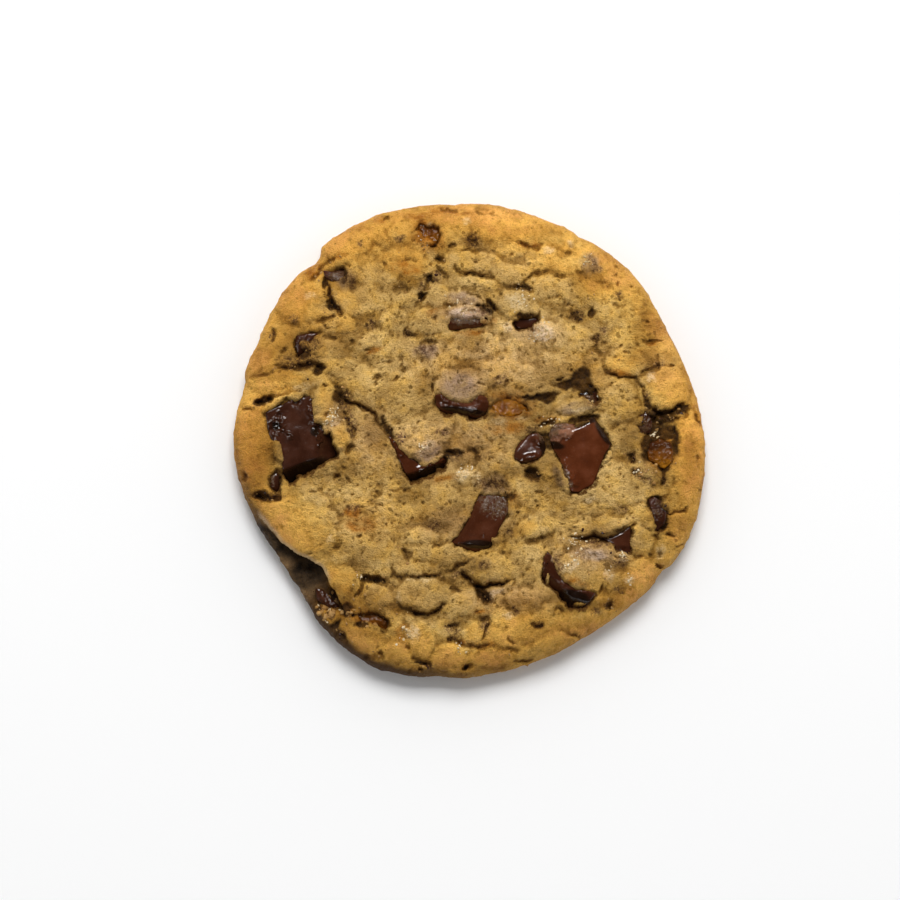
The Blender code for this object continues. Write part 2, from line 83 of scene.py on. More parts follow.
# Plates of dough that rose and set apart: x, y, half length, half width, heading, height.
PLATES = [
    # the lobe, the left rim and the pieces round the western chunk
    (-33, -15, 9.2, 6.6, -45, 1.6), (-41, -1.5, 9.6, 3.8, 88, 1.2), (-35, 10.6, 7, 2.4, 3, 0.9),
    (-27.6, 7.2, 2.2, 4.4, 5, 1.1), (-25, 0.2, 2.4, 2.4, 0, 0.9), (-27.2, -5.3, 3.6, 1.6, 28, 0.9),
    (-19.5, -2, 3.6, 5.2, 0, 0.5), (-20.5, 9.8, 4.4, 4.4, 0, 0.6), (-40.5, 16, 3.5, 2.4, 70, 0.5),
    # upper left
    (-23, 38, 7, 3.6, 33, 1.1), (-32.3, 26.6, 4.4, 5.4, 30, 0.8), (-20.6, 26.4, 4.4, 3, 15, 0.8),
    (-18, 31.2, 4.4, 2.4, 0, 0.5), (-24.6, 21.6, 3, 1.9, 10, 0.8), (-36.6, 20.6, 3, 3.6, 20, 0.4),
    (-19.4, 18.6, 3.8, 1.6, 20, 0.6), (-27.4, 17.2, 3.4, 2, -20, 0.6), (-25, 13.6, 3.4, 2, 0, 0.4),
    # top
    (-12.4, 33.4, 4.8, 2.9, -15, 0.9), (-13, 40, 3, 2.8, 0, 0.6), (-3, 40.4, 2.9, 3.2, 90, 0.7),
    (6, 40.6, 7.6, 3.2, -8, 0.9), (7.4, 36.6, 3.8, 1.8, -10, 0.7), (1.2, 33.6, 5.6, 2.3, -5, 0.9),
    (7.6, 31.4, 4, 2.2, -5, 0.7), (0.8, 29.7, 4.4, 1.6, -10, 0.8), (13.6, 34.4, 3.2, 2.4, 10, 0.6),
    (13.8, 29.2, 3.4, 2.6, 20, 0.7), (-6.3, 27, 2.2, 2.4, 0, 0.7), (-7.4, 22.5, 4.4, 2.6, 5, 0.7),
    (-12.4, 26.4, 2.8, 1.5, 20, 0.5), (-14.6, 22.6, 2.8, 2.4, 0, 0.5), (-1.1, 26.5, 3.9, 1.9, -8, 1.1),
    (-1.4, 23.2, 3.8, 1.9, 0, 1), (8.8, 25.8, 4.2, 3.1, -15, 1.1), (0.5, 17.8, 5.2, 2.8, 5, 0.6),
    (13.8, 20.4, 3.2, 2.2, 0, 0.7), (5.6, 21.4, 2.2, 1.7, 0, 0.4), (-13.4, 17.2, 3.2, 2.2, 0, 0.4),
    # upper right
    (20.5, 36.8, 4.8, 2.6, -35, 0.7), (27.6, 32.6, 5, 2.8, -45, 0.6), (18.4, 33, 3.2, 2, 0, 0.5),
    (20, 28.4, 6, 3.2, -10, 0.8), (26.4, 24, 3.6, 2.2, -20, 0.5), (31.2, 22, 4, 3, -50, 0.6),
    (36, 20.4, 4.2, 2.2, -65, 0.6), (18.6, 19, 4.8, 3.4, 0, 0.6), (29.4, 14.6, 4, 2.8, -10, 0.9),
    (30, 19.2, 3.6, 2.2, 0, 0.5),
    # right
    (37, 9.9, 5.4, 4.5, 10, 1.4), (28.4, 7, 3.9, 4.4, 0, 0.8), (29, 0.3, 2.9, 2.7, 0, 0.6),
    (20.4, 6.1, 4.4, 1.6, 5, 1), (27, -8.5, 7.5, 4.6, 0, 0.8), (33.1, -6.7, 2.4, 2.2, 0, 0.6),
    (41.8, -4.5, 8.4, 3.2, 88, 1), (39.6, -15, 2.6, 2, 0, 0.5), (17, 14, 4.4, 3.4, 0, 0.5),
    # lower right
    (25, -16.6, 5.8, 2.1, 3, 1), (23.6, -21.8, 4.6, 1.8, -8, 0.8), (21, -25.3, 5.6, 3.8, -20, 1.5),
    (32.6, -19.3, 2, 3, 0, 1), (38, -20, 2.8, 3.8, -25, 0.8), (32.8, -25.6, 4.4, 3.1, 30, 0.9),
    (26.9, -27.2, 1.9, 2.2, 0, 0.6), (24.3, -30.7, 1.8, 1.3, 0, 0.5), (20.3, -34.2, 4.6, 1.7, 5, 0.8),
    (17, -38, 5, 1.9, 15, 0.7), (30.6, -30, 3.6, 1.8, 40, 0.6),
    # bottom
    (3.2, -24.4, 5.6, 2.9, 0, 1.4), (-9.1, -29.6, 5.6, 3.6, 0, 1.4), (-2.2, -31.5, 4, 2.4, 0, 0.9),
    (-9.5, -24.7, 4.8, 1.3, 3, 0.6), (-6.4, -21.9, 5.4, 2, -4, 0.8), (-9.3, -18.5, 3.3, 1.7, 0, 0.6),
    (10, -22.5, 4.6, 4.6, 0, 0.5), (12.6, -16.6, 3.8, 2.3, 15, 0.7), (7.4, -35.8, 5.8, 3.8, 0, 0.9),
    (4, -41.6, 4.6, 1.9, 0, 0.9), (-4, -41.3, 3.7, 2.7, 0, 1), (-9.6, -38, 2.8, 3.6, 0, 1),
    (-14, -40, 3.1, 2.8, 0, 0.9), (0.2, -36.6, 2, 2.5, 0, 0.7), (-5.6, -36.2, 2.2, 2.1, 0, 0.5),
    (10.4, -30.4, 4.2, 2.1, 10, 0.5), (14.6, -33.4, 3.2, 1.9, 10, 0.5),
    # lower left
    (-24.2, -27.2, 3.2, 3.4, -30, 1), (-18.1, -29.6, 3.5, 2.2, -10, 1), (-20.4, -38, 4.2, 2.4, -30, 1.1),
    (-24, -20, 5.4, 4, 0, 0.5), (-17.4, -21.6, 3.8, 3.2, 0, 0.5),
    # middle
    (-2.3, 9.8, 5, 3.9, 0, 1.1), (-9.6, 0.4, 6.4, 4.4, 25, 1.1), (-1.8, -3.5, 2.7, 1.7, 0, 0.7),
    (-1.6, -7, 2.6, 1.5, 0, 0.4), (6.5, 2.1, 5.2, 2.3, 0, 0.5), (4.5, -4.6, 3.7, 2.6, 0, 0.5),
    (9.6, -9, 3.4, 2.2, 0, 0.5), (-13, -12.5, 5.2, 3.2, 0, 0.5), (-6, -12.5, 4.2, 3.7, 0, 0.5),
    (-12.4, 8, 5.2, 5.2, 0, 0.5), (5.4, 12.6, 4.2, 2.8, 0, 0.5), (10.6, 11.6, 3, 2.4, 0, 0.5),
]

# Cracks and creases: width, depth, and the points they run through.
CRACKS = [
    # upper left
    (0.9, 2, [(-27.9, 31.2), (-27.1, 29.3), (-26.8, 28), (-26.7, 26.6), (-26.1, 25.6), (-25.4, 24.4),
        (-24.6, 23.2)]),
    (0.6, 1.2, [(-25.9, 23.4), (-27.4, 22.9), (-29.2, 22.4)]),
    (0.5, 0.8, [(-37.4, 21.3), (-37.7, 20), (-37.9, 18.3)]),
    (0.35, 0.5, [(-20, 38.5), (-18.6, 37.4), (-17, 36.8)]), (0.5, 0.9, [(-24.2, 33.2), (-22.8, 32.9)]),
    (0.8, 1, [(-30.4, 30), (-28.8, 32.4), (-27, 34), (-23.7, 35)]),
    (0.5, 0.8, [(-28.3, 21.8), (-27.3, 21), (-26.5, 20.8)]), (0.5, 0.8, [(-27.5, 19.3), (-25.8, 19.1)]),
    (0.5, 0.7, [(-20.5, 16.4), (-19.2, 17), (-17.8, 17.7)]), (0.7, 1.2, [(-36.2, 16.5), (-35, 17)]),
    (0.5, 0.8, [(-28, 27.8), (-27.5, 26.6)]), (0.5, 0.8, [(-22.8, 18.9), (-22.2, 17.8)]),
    # top
    (0.6, 0.8, [(-5.6, 44.3), (-4, 43.7), (-2.4, 43.4)]), (0.4, 0.5, [(1, 43.6), (3, 43.1), (4.8, 43.4)]),
    (0.6, 1, [(8.6, 38.1), (9.8, 37.3), (11, 36.7), (12.6, 36.6), (13.8, 37.4)]),
    (0.5, 1.1, [(-4.6, 36.6), (-3, 36.8)]), (0.4, 0.8, [(-2.3, 36.1), (-0.8, 36.2), (1, 36), (3, 35.8)]),
    (0.6, 1.2, [(-3.3, 33), (-2.8, 32), (-2, 31.3), (0, 31.5), (1.2, 31.2), (2.6, 30.8), (4.2, 30.6)]),
    (0.5, 1, [(9.8, 30.2), (11.2, 31.1), (13, 31.6), (14.6, 32.1)]),
    (0.9, 1.2, [(6.2, 28.8), (8.5, 28.9), (10, 29), (11.8, 28.3)]),
    (0.8, 1.2, [(-15, 28.5), (-13.2, 28.8), (-12.3, 28), (-11.5, 28.3)]),
    (0.9, 1.6, [(-8.6, 27.8), (-9.4, 27.1), (-10.2, 26.2)]), (0.5, 1.2, [(-10.2, 26.2), (-10.5, 25.2)]),
    (0.9, 1.5, [(-7.6, 30.9), (-8.1, 30.2)]), (0.7, 1.2, [(-8, 29.8), (-9, 28.4)]),
    (1.4, 1, [(-7, 34.6), (-6, 34.2), (-5, 34.5)]), (0.6, 1.2, [(-6.5, 33), (-5.6, 31.8), (-4.5, 30.5)]),
    (0.5, 1.4, [(-1, 28.2), (0.5, 27.7), (1.8, 26.7)]), (0.7, 1.6, [(3.1, 26.6), (3.7, 25.3), (4.9, 24.5)]),
    (0.4, 0.9, [(-4.8, 25.4), (-3, 24.9), (-1.2, 25.2), (1, 25), (3.2, 24.8)]),
    (0.6, 1.6, [(-12.8, 20.7), (-12.3, 20.1), (-11.4, 20), (-10.3, 19.4)]),
    (0.6, 1.2, [(-9.8, 18), (-8.3, 18.5), (-6.8, 18.3)]),
    (0.35, 0.6, [(-15.4, 33.9), (-12.4, 34), (-10.2, 33.6)]), (0.35, 0.6, [(8.2, 33.6), (9.4, 33)]),
    (0.35, 0.6, [(-1, 28.9), (1.7, 29.2)]), (0.6, 1.1, [(12.9, 24.4), (12.3, 21.2), (12.2, 20.2)]),
    (0.5, 1, [(-6.6, 23.4), (-7.2, 22.8)]),
    # upper right
    (0.5, 0.8, [(16, 27.4), (17, 26.9), (17.8, 25.6), (18.8, 25.3)]),
    (0.5, 0.8, [(17.8, 35.8), (19.4, 35.8)]), (0.4, 0.5, [(15.8, 30.9), (17.8, 31.3)]),
    (0.4, 0.5, [(19.6, 34.5), (20, 32.2), (21.5, 31.8)]), (0.5, 0.6, [(24.5, 30.3), (26, 29.8)]),
    (0.6, 0.8, [(27, 25.8), (28.5, 25.5)]), (0.5, 0.6, [(30.3, 24.7), (32.3, 24.8)]),
    (0.6, 0.8, [(32.5, 19), (34, 18.7), (36.7, 18.8)]), (0.5, 0.9, [(25, 18.9), (25.6, 18.3)]),
    (0.5, 0.7, [(22.8, 19.6), (23.5, 18.6), (24.3, 19.2)]),
    (0.9, 0.9, [(23.2, 18), (23.8, 17), (24.6, 15.6)]), (0.8, 1, [(19, 24.2), (20, 23.3), (20.6, 22.4)]),
    # right
    (0.6, 1.2, [(25, 13.6), (26, 12.9), (27.2, 12.5), (28, 11.9), (29.4, 12.1), (31, 11.4), (31.8, 10.4),
        (32.6, 9.6), (33, 8.5), (33.8, 7)]),
    (1, 2, [(34.3, 5.6), (35.3, 5.1), (36.5, 4.9), (38, 5.1), (39.2, 6.4), (40.3, 6.9)]),
    (1, 1.6, [(34.8, 4.5), (35.2, 3.2), (36.2, 3), (37.5, 3.8), (38.6, 3.8)]),
    (0.6, 1, [(38.6, 4.2), (40, 4), (41.3, 5.3), (42.3, 6.2)]),
    (0.6, 0.9, [(42.3, 6.4), (42.8, 5.2), (43.8, 3.4), (44.7, 2.6)]),
    (0.5, 1, [(32.2, 12.2), (33, 13.1), (34.3, 13.4), (36, 14)]), (0.9, 1.5, [(35.4, 14.2), (36, 14.4)]),
    (0.5, 1, [(36.6, 14.3), (38.6, 14.2)]), (0.7, 1.4, [(36.1, -5.3), (36.6, -6.6), (36.3, -8.8)]),
    (0.6, 1.2, [(37.4, -14), (39, -13.8), (40.6, -13.6), (41, -12.8)]),
    (0.4, 0.7, [(25.3, -7.3), (26, -7.3)]), (0.8, 1.2, [(30.2, -2.7), (30.4, -3.8), (30.8, -4.7)]),
    (0.5, 1, [(30.4, -5.4), (31.6, -6.8), (32.8, -7.6), (33.7, -8)]),
    (0.4, 0.9, [(30.7, -14), (30.3, -14.3)]), (0.6, 1.4, [(16.3, 11.3), (17.4, 11.2)]),
    (0.5, 1.1, [(16, 8.7), (17, 8.5)]), (0.6, 0.9, [(35.6, 16.6), (35.2, 15)]),
    # lower right
    (1.1, 2.1, [(18.8, -18.4), (20.3, -18.8), (21.5, -18.9), (23, -18.4), (25, -18.9), (27, -18.7),
        (28.7, -17.6), (30.2, -16.4), (31, -15.8)]),
    (0.6, 1.1, [(10, -19.7), (12.3, -19.4), (14, -18.7), (15.4, -18)]),
    (0.6, 1, [(31, -21.9), (32.6, -22.2)]), (0.6, 1.1, [(33.7, -22.4), (34.2, -21.6)]),
    (0.7, 1.3, [(35.6, -21.3), (36.2, -21.8)]), (0.6, 1.3, [(35.6, -23.6), (36.4, -24.4)]),
    (0.6, 1.2, [(35.1, -18.3), (35.5, -19)]), (0.6, 1.2, [(37.3, -18.1), (38.5, -18.4)]),
    (0.8, 1.3, [(25.9, -31.6), (26.7, -31.4), (27, -30.8)]),
    (0.7, 1.2, [(24.3, -29), (25, -28.3), (24.9, -27.4)]),
    (0.7, 1.3, [(15.8, -32.3), (17, -32.4), (18.3, -32.4)]),
    (0.5, 0.9, [(16.3, -36.2), (18.3, -36.8), (20.8, -37.5), (23, -36.8), (24, -36.2)]),
    (0.5, 0.8, [(39.6, -20.4), (41, -19.6)]),
    # bottom
    (0.7, 1.4, [(0.2, -22.6), (-1.2, -23.4), (-2.8, -24.2), (-4.8, -25.2)]),
    (1, 1.9, [(-2, -25.2), (-0.8, -26.3), (0.7, -27.6), (2.2, -28), (3.6, -27.7), (5.2, -27.6),
        (7, -26.8)]),
    (1.1, 1.6, [(1.1, -28.3), (1.6, -29.6), (2.4, -30.6), (4.2, -31.2)]),
    (0.6, 1.2, [(-15.3, -24.8), (-14.6, -26), (-13.3, -26.9), (-12.3, -26), (-10.5, -26.2), (-8, -26),
        (-5.5, -26)]),
    (0.6, 1.1, [(-7.5, -20.4), (-6, -20.2), (-4.9, -20)]),
    (0.9, 1.2, [(-13, -21), (-12.3, -21.8), (-12, -22.8)]),
    (0.9, 1.7, [(-13.8, -31), (-13, -32.2), (-11.8, -32.6), (-10.4, -33.3), (-8.6, -33.5), (-7.2, -32.9),
        (-6, -32.2), (-5.2, -31)]),
    (0.6, 1.1, [(-4, -28.4), (-3.1, -28.6), (-2.3, -29.2)]), (0.4, 0.7, [(-8.8, -28.3), (-7.4, -28.8)]),
    (0.8, 1.2, [(-4.8, -35.5), (-3.4, -35.7), (-2.6, -35.5)]), (0.7, 1.2, [(-4.6, -37.9), (-3.2, -37.8)]),
    (0.7, 1, [(-2.8, -38.5), (-1.2, -39.1), (1.2, -39.5), (3.6, -39.2)]),
    (0.6, 1.1, [(1, -34.1), (2.2, -34.4), (3.3, -34), (3.4, -35), (2.8, -36.2), (2.1, -37.8)]),
    (0.5, 1.1, [(6.6, -35.5), (6.9, -36)]), (0.6, 1.2, [(6.7, -37.7), (8.3, -38.6)]),
    (0.7, 1, [(6.9, -31.9), (8, -32.2), (8.4, -33)]),
    (0.6, 1.1, [(11.2, -34.8), (12.6, -35.6), (13.6, -35.4)]),
    (0.7, 1.1, [(-11, -41.3), (-10.2, -41.7), (-9.3, -42), (-8, -42.6), (-7.4, -43.2)]),
    (0.8, 1.1, [(-9.9, -43.4), (-9.1, -43.5)]), (0.7, 1.2, [(-11.6, -43.6), (-11, -43.8)]),
    (0.7, 1, [(-1.6, -43.8), (-0.7, -43.1), (0.6, -43.3)]),
    (0.8, 1.2, [(8.2, -42), (10, -42.2), (12.2, -41.7)]), (0.4, 0.8, [(7, -39.7), (9, -40.2)]),
    (0.5, 1, [(-12.3, -39.5), (-11.5, -39.7)]),
    # lower left
    (1.1, 1.7, [(-20.9, -26.2), (-20.1, -26.7), (-18.6, -26.8), (-16.8, -27.2), (-15.6, -26.5)]),
    (0.8, 1.2, [(-20.6, -27.4), (-20.8, -28.6), (-21.7, -29.4), (-22.4, -30)]),
    (1, 1.1, [(-24.5, -31), (-22.5, -32), (-20.2, -32.6), (-17.8, -33), (-15.6, -33.3)]),
    (0.6, 1.1, [(-26, -20.8), (-25.2, -20.3), (-24.6, -20)]), (0.4, 0.8, [(-25.4, -19.2), (-24.6, -19.4)]),
    (0.4, 0.9, [(-21.2, -18.4), (-20.9, -18.9)]), (0.4, 0.8, [(-31, -21.8), (-30.2, -21.5)]),
    (0.9, 1, [(-24.9, -36), (-24.3, -37.2), (-23.4, -38.2)]), (0.6, 0.9, [(-18.2, -39.5), (-17.3, -39)]),
    (0.8, 1.1, [(-17.4, -40.4), (-16.7, -40.9)]),
    (0.5, 0.9, [(-20.3, -41.3), (-18.4, -41.3), (-16.5, -41.6)]),
    # left
    (0.9, 1.2, [(-37.2, 14), (-36, 13.7), (-34.6, 13.5)]),
    (1.2, 1.4, [(-34, 13.3), (-32.5, 13.7), (-31, 14.1), (-29.6, 14.2), (-28.5, 13)]),
    (0.4, 0.6, [(-42, 12), (-40.2, 12.2), (-38, 12.5)]),
    (0.9, 1.6, [(-41, 6.8), (-39.5, 6.9), (-37.6, 7.9)]), (0.5, 0.9, [(-43.2, 5.7), (-41.4, 5.4)]),
    (0.8, 1.5, [(-25, 8.8), (-24, 7.5), (-22.5, 6.7), (-20, 5.8), (-18.6, 4.6), (-17.7, 3), (-17, 2),
        (-15.8, 1)]),
    (0.5, 1, [(-24.2, 5), (-23.2, 3.2), (-22.5, 1.8), (-22.1, 0.2)]),
    (0.9, 1.8, [(-24.1, -3), (-23.3, -2), (-22.4, -1.2)]),
    (0.5, 0.8, [(-26.5, 10.5), (-25.2, 9.6), (-24, 8.5)]), (0.9, 1.2, [(-43, -6.2), (-42.6, -8)]),
    (0.5, 0.7, [(-36.5, 9.2), (-35, 9.9)]),
    (1.1, 1.5, [(-41.5, -10.4), (-40, -11.1), (-38, -11.4), (-36.4, -11.4), (-36, -9.8)]),
    (0.5, 0.8, [(-31, -10.1), (-29.5, -9.9), (-28.4, -9.6)]), (0.5, 1.2, [(-26.2, -7.6), (-25.2, -6.8)]),
    (0.5, 0.9, [(-23.7, -7.2), (-23, -8.5)]), (0.6, 1, [(-24.9, -15), (-24.3, -14.2)]),
    (0.5, 1, [(-18.2, -10), (-17.3, -10.8)]), (0.6, 1.3, [(-18.6, 10.1), (-18.1, 11.2), (-17.3, 11.8)]),
    (0.5, 1, [(-28.2, 10.3), (-27.7, 9.9)]),
    # middle
    (0.7, 1.3, [(-7.5, 11.2), (-6.3, 11.8)]), (0.6, 1.2, [(-7.3, 8.8), (-7.3, 10.3)]),
    (0.8, 1.4, [(-4.5, -2.6), (-3, -3), (-1.7, -2.6), (-0.6, -2.3), (0.3, -2.3), (1, -3), (1.3, -4.2)]),
    (0.4, 0.9, [(1.3, 10.9), (2.2, 10.1)]),
    (0.7, 0.7, [(4.5, 8.3), (6.5, 8.1), (8.8, 7.8), (10.5, 7.2), (12.2, 7), (13.3, 7.7), (14.5, 7.8)]),
    (1.1, 1.3, [(10.6, -6.3), (11.7, -6.3), (12.4, -7.2)]), (0.6, 1, [(11.3, -4.8), (11.2, -6)]),
    (0.7, 1, [(6.8, -10.4), (7.1, -11.3)]),
    (0.7, 0.6, [(-15.5, -9.8), (-13, -9.6), (-11, -10.3), (-9, -10.9)]),
    (0.5, 1.1, [(-14.4, -14.2), (-13.7, -14.9)]), (0.4, 0.8, [(-3, 15.4), (-2.7, 14.6)]),
    (0.4, 0.7, [(12.2, -10), (12.8, -9.9)]), (0.4, 0.6, [(-11.5, 1.5), (-9.8, 3)]),
]

# Pits and burst bubbles: x, y, radius.
PITS = [
    (-16.3, 33.5, 0.4), (-16, 42.3, 0.6), (-14.3, 11.4, 0.55), (-13, 22.9, 0.3), (5.7, 19.7, 0.3),
    (0.6, 33.7, 0.6), (7.7, 35.3, 0.5), (19.1, 29.5, 0.35), (28, 29.5, 0.45), (28.4, 27, 0.35),
    (27.7, 33.4, 0.3), (27.8, 31.6, 0.28), (25.9, 26.2, 0.32), (31.7, 18.3, 0.35), (28.7, 17.9, 0.4),
    (18.8, 13, 0.45), (26.4, 10.3, 0.3), (6.7, 10.7, 0.4), (-4.7, 1.6, 0.35), (0.5, -9, 0.4),
    (-4.2, -11.9, 0.4), (-2.8, -11.8, 0.35), (-5.7, -13.4, 0.4), (1.5, -3.8, 0.45), (44.2, -9.7, 0.45),
    (35.8, -21.4, 0.5), (-13.5, 13.9, 0.35), (-13, 12.8, 0.35), (-27.5, 4.6, 0.5), (43.2, -3.4, 0.35),
    (4.3, 42.2, 0.22), (10.6, 41.2, 0.25), (-8.7, 36, 0.35), (0.4, 37.7, 0.5), (0.9, 39.2, 0.3),
    (1.4, 37.2, 0.3), (30.5, 29.6, 0.3), (33.6, 22.5, 0.4), (29.3, 16.4, 0.4), (38.8, -18.3, 0.3),
    (12.3, -9.9, 0.3), (3.4, -3.9, 0.35), (-12.7, 3.6, 0.2), (2.5, -23.8, 0.35), (-16.5, -29.2, 0.3),
    (-20.8, -18.6, 0.3), (-33.8, 22, 0.35), (-18.2, 21.3, 0.4), (6.2, 15.4, 0.25), (-9.9, 8.6, 0.25),
    (-8.6, 12.8, 0.3), (13.2, 4.2, 0.3),
]

# Patches of dough that lie over chocolate and caramel.
COVERS = [
    (21.2, 11.6, 1.2, 1.9, 20), (20.6, 10.9, 1.1, 1), (21.6, 9.8, 1.1, 0.9, -30), (21, 2.8, 1.9, 0.5, 21),
    (-27.4, 2.4, 0.9, 1.4), (-0.8, 24, 4.6, 1.5), (2.6, 22.8, 1.2, 1.2), (-22.6, 31.6, 0.7, 1.4),
    (17.2, -7.4, 0.9, 3, 22), (2.6, -9.6, 1.6, 0.8, 20), (6.4, -10, 1.2, 1.2, -20),
    (7.4, -12.4, 0.7, 1.8, 10), (-31.4, 17.6, 1, 1.4, 30), (32.2, 3.4, 0.9, 1.2), (34.2, 5, 0.7, 0.8),
    (28.4, -21.8, 1.7, 0.6), (26.2, -20.4, 0.8, 1.2), (22.2, 6.6, 1.6, 0.9, -30),
    (33.9, -16.4, 0.7, 2.4, 15), (36.9, -12.2, 0.6, 1.2, 25), (4.2, 4.6, 1.2, 0.9),
    (10.6, 4.6, 1.2, 0.6, -30), (5, 7.8, 1.6, 0.6, 10), (10.2, 7, 1, 0.5, -25), (-10.4, 38.6, 1.4, 1.2),
    (-8.4, 37.6, 1.4, 1), (-6.2, 41.4, 0.9, 0.8), (-8.6, 42.2, 2.6, 0.7, -8), (-21.8, -34.4, 1, 0.8),
    (-18.6, -35.6, 2.6, 0.5, -20), (-20, -32.9, 1.8, 0.4, 8), (8.4, 23.2, 1.2, 0.6, 20),
    (12.4, 21.4, 0.6, 0.8), (20, 9.2, 1, 0.9), (24.4, 9.6, 0.7, 1.4, 20),
    # flaps over the edges of the chunks
    (28.2, -17.4, 2.8, 0.6, 32), (-37.3, 6.8, 2.7, 0.7, 36), (-33.4, 8.2, 1.6, 1.1),
    (-36.6, -2.2, 0.9, 2.2, 15), (-29.4, 6.8, 0.8, 2.2, -12), (-28.4, 3.4, 1.6, 0.8, -30),
    (-12.4, -1.2, 1.3, 1.4, 40), (4.6, -19.4, 0.8, 0.7), (17, -6.6, 0.7, 2.2, 22),
    (25.9, -3.4, 0.5, 1.4, -25), (3.4, -10.2, 1.6, 0.7, 10), (7.6, -13, 0.7, 1.6), (14.4, -26.5, 0.5, 1.2),
    (-4.6, 22.6, 0.6, 1.2), (2.9, 23.2, 0.8, 1), (-24.2, 30.3, 0.9, 0.6), (-31.4, 17.4, 0.8, 1.1, 30),
    (9.6, 0.8, 0.6, 1.1, 30), (22.6, 9.2, 0.7, 1, 40), (31.4, -20.6, 0.5, 1), (36.6, -12.6, 0.6, 1.1, 20),
    (34.2, -14.6, 0.5, 1, 20), (20.6, -31.3, 1.2, 0.5),
]
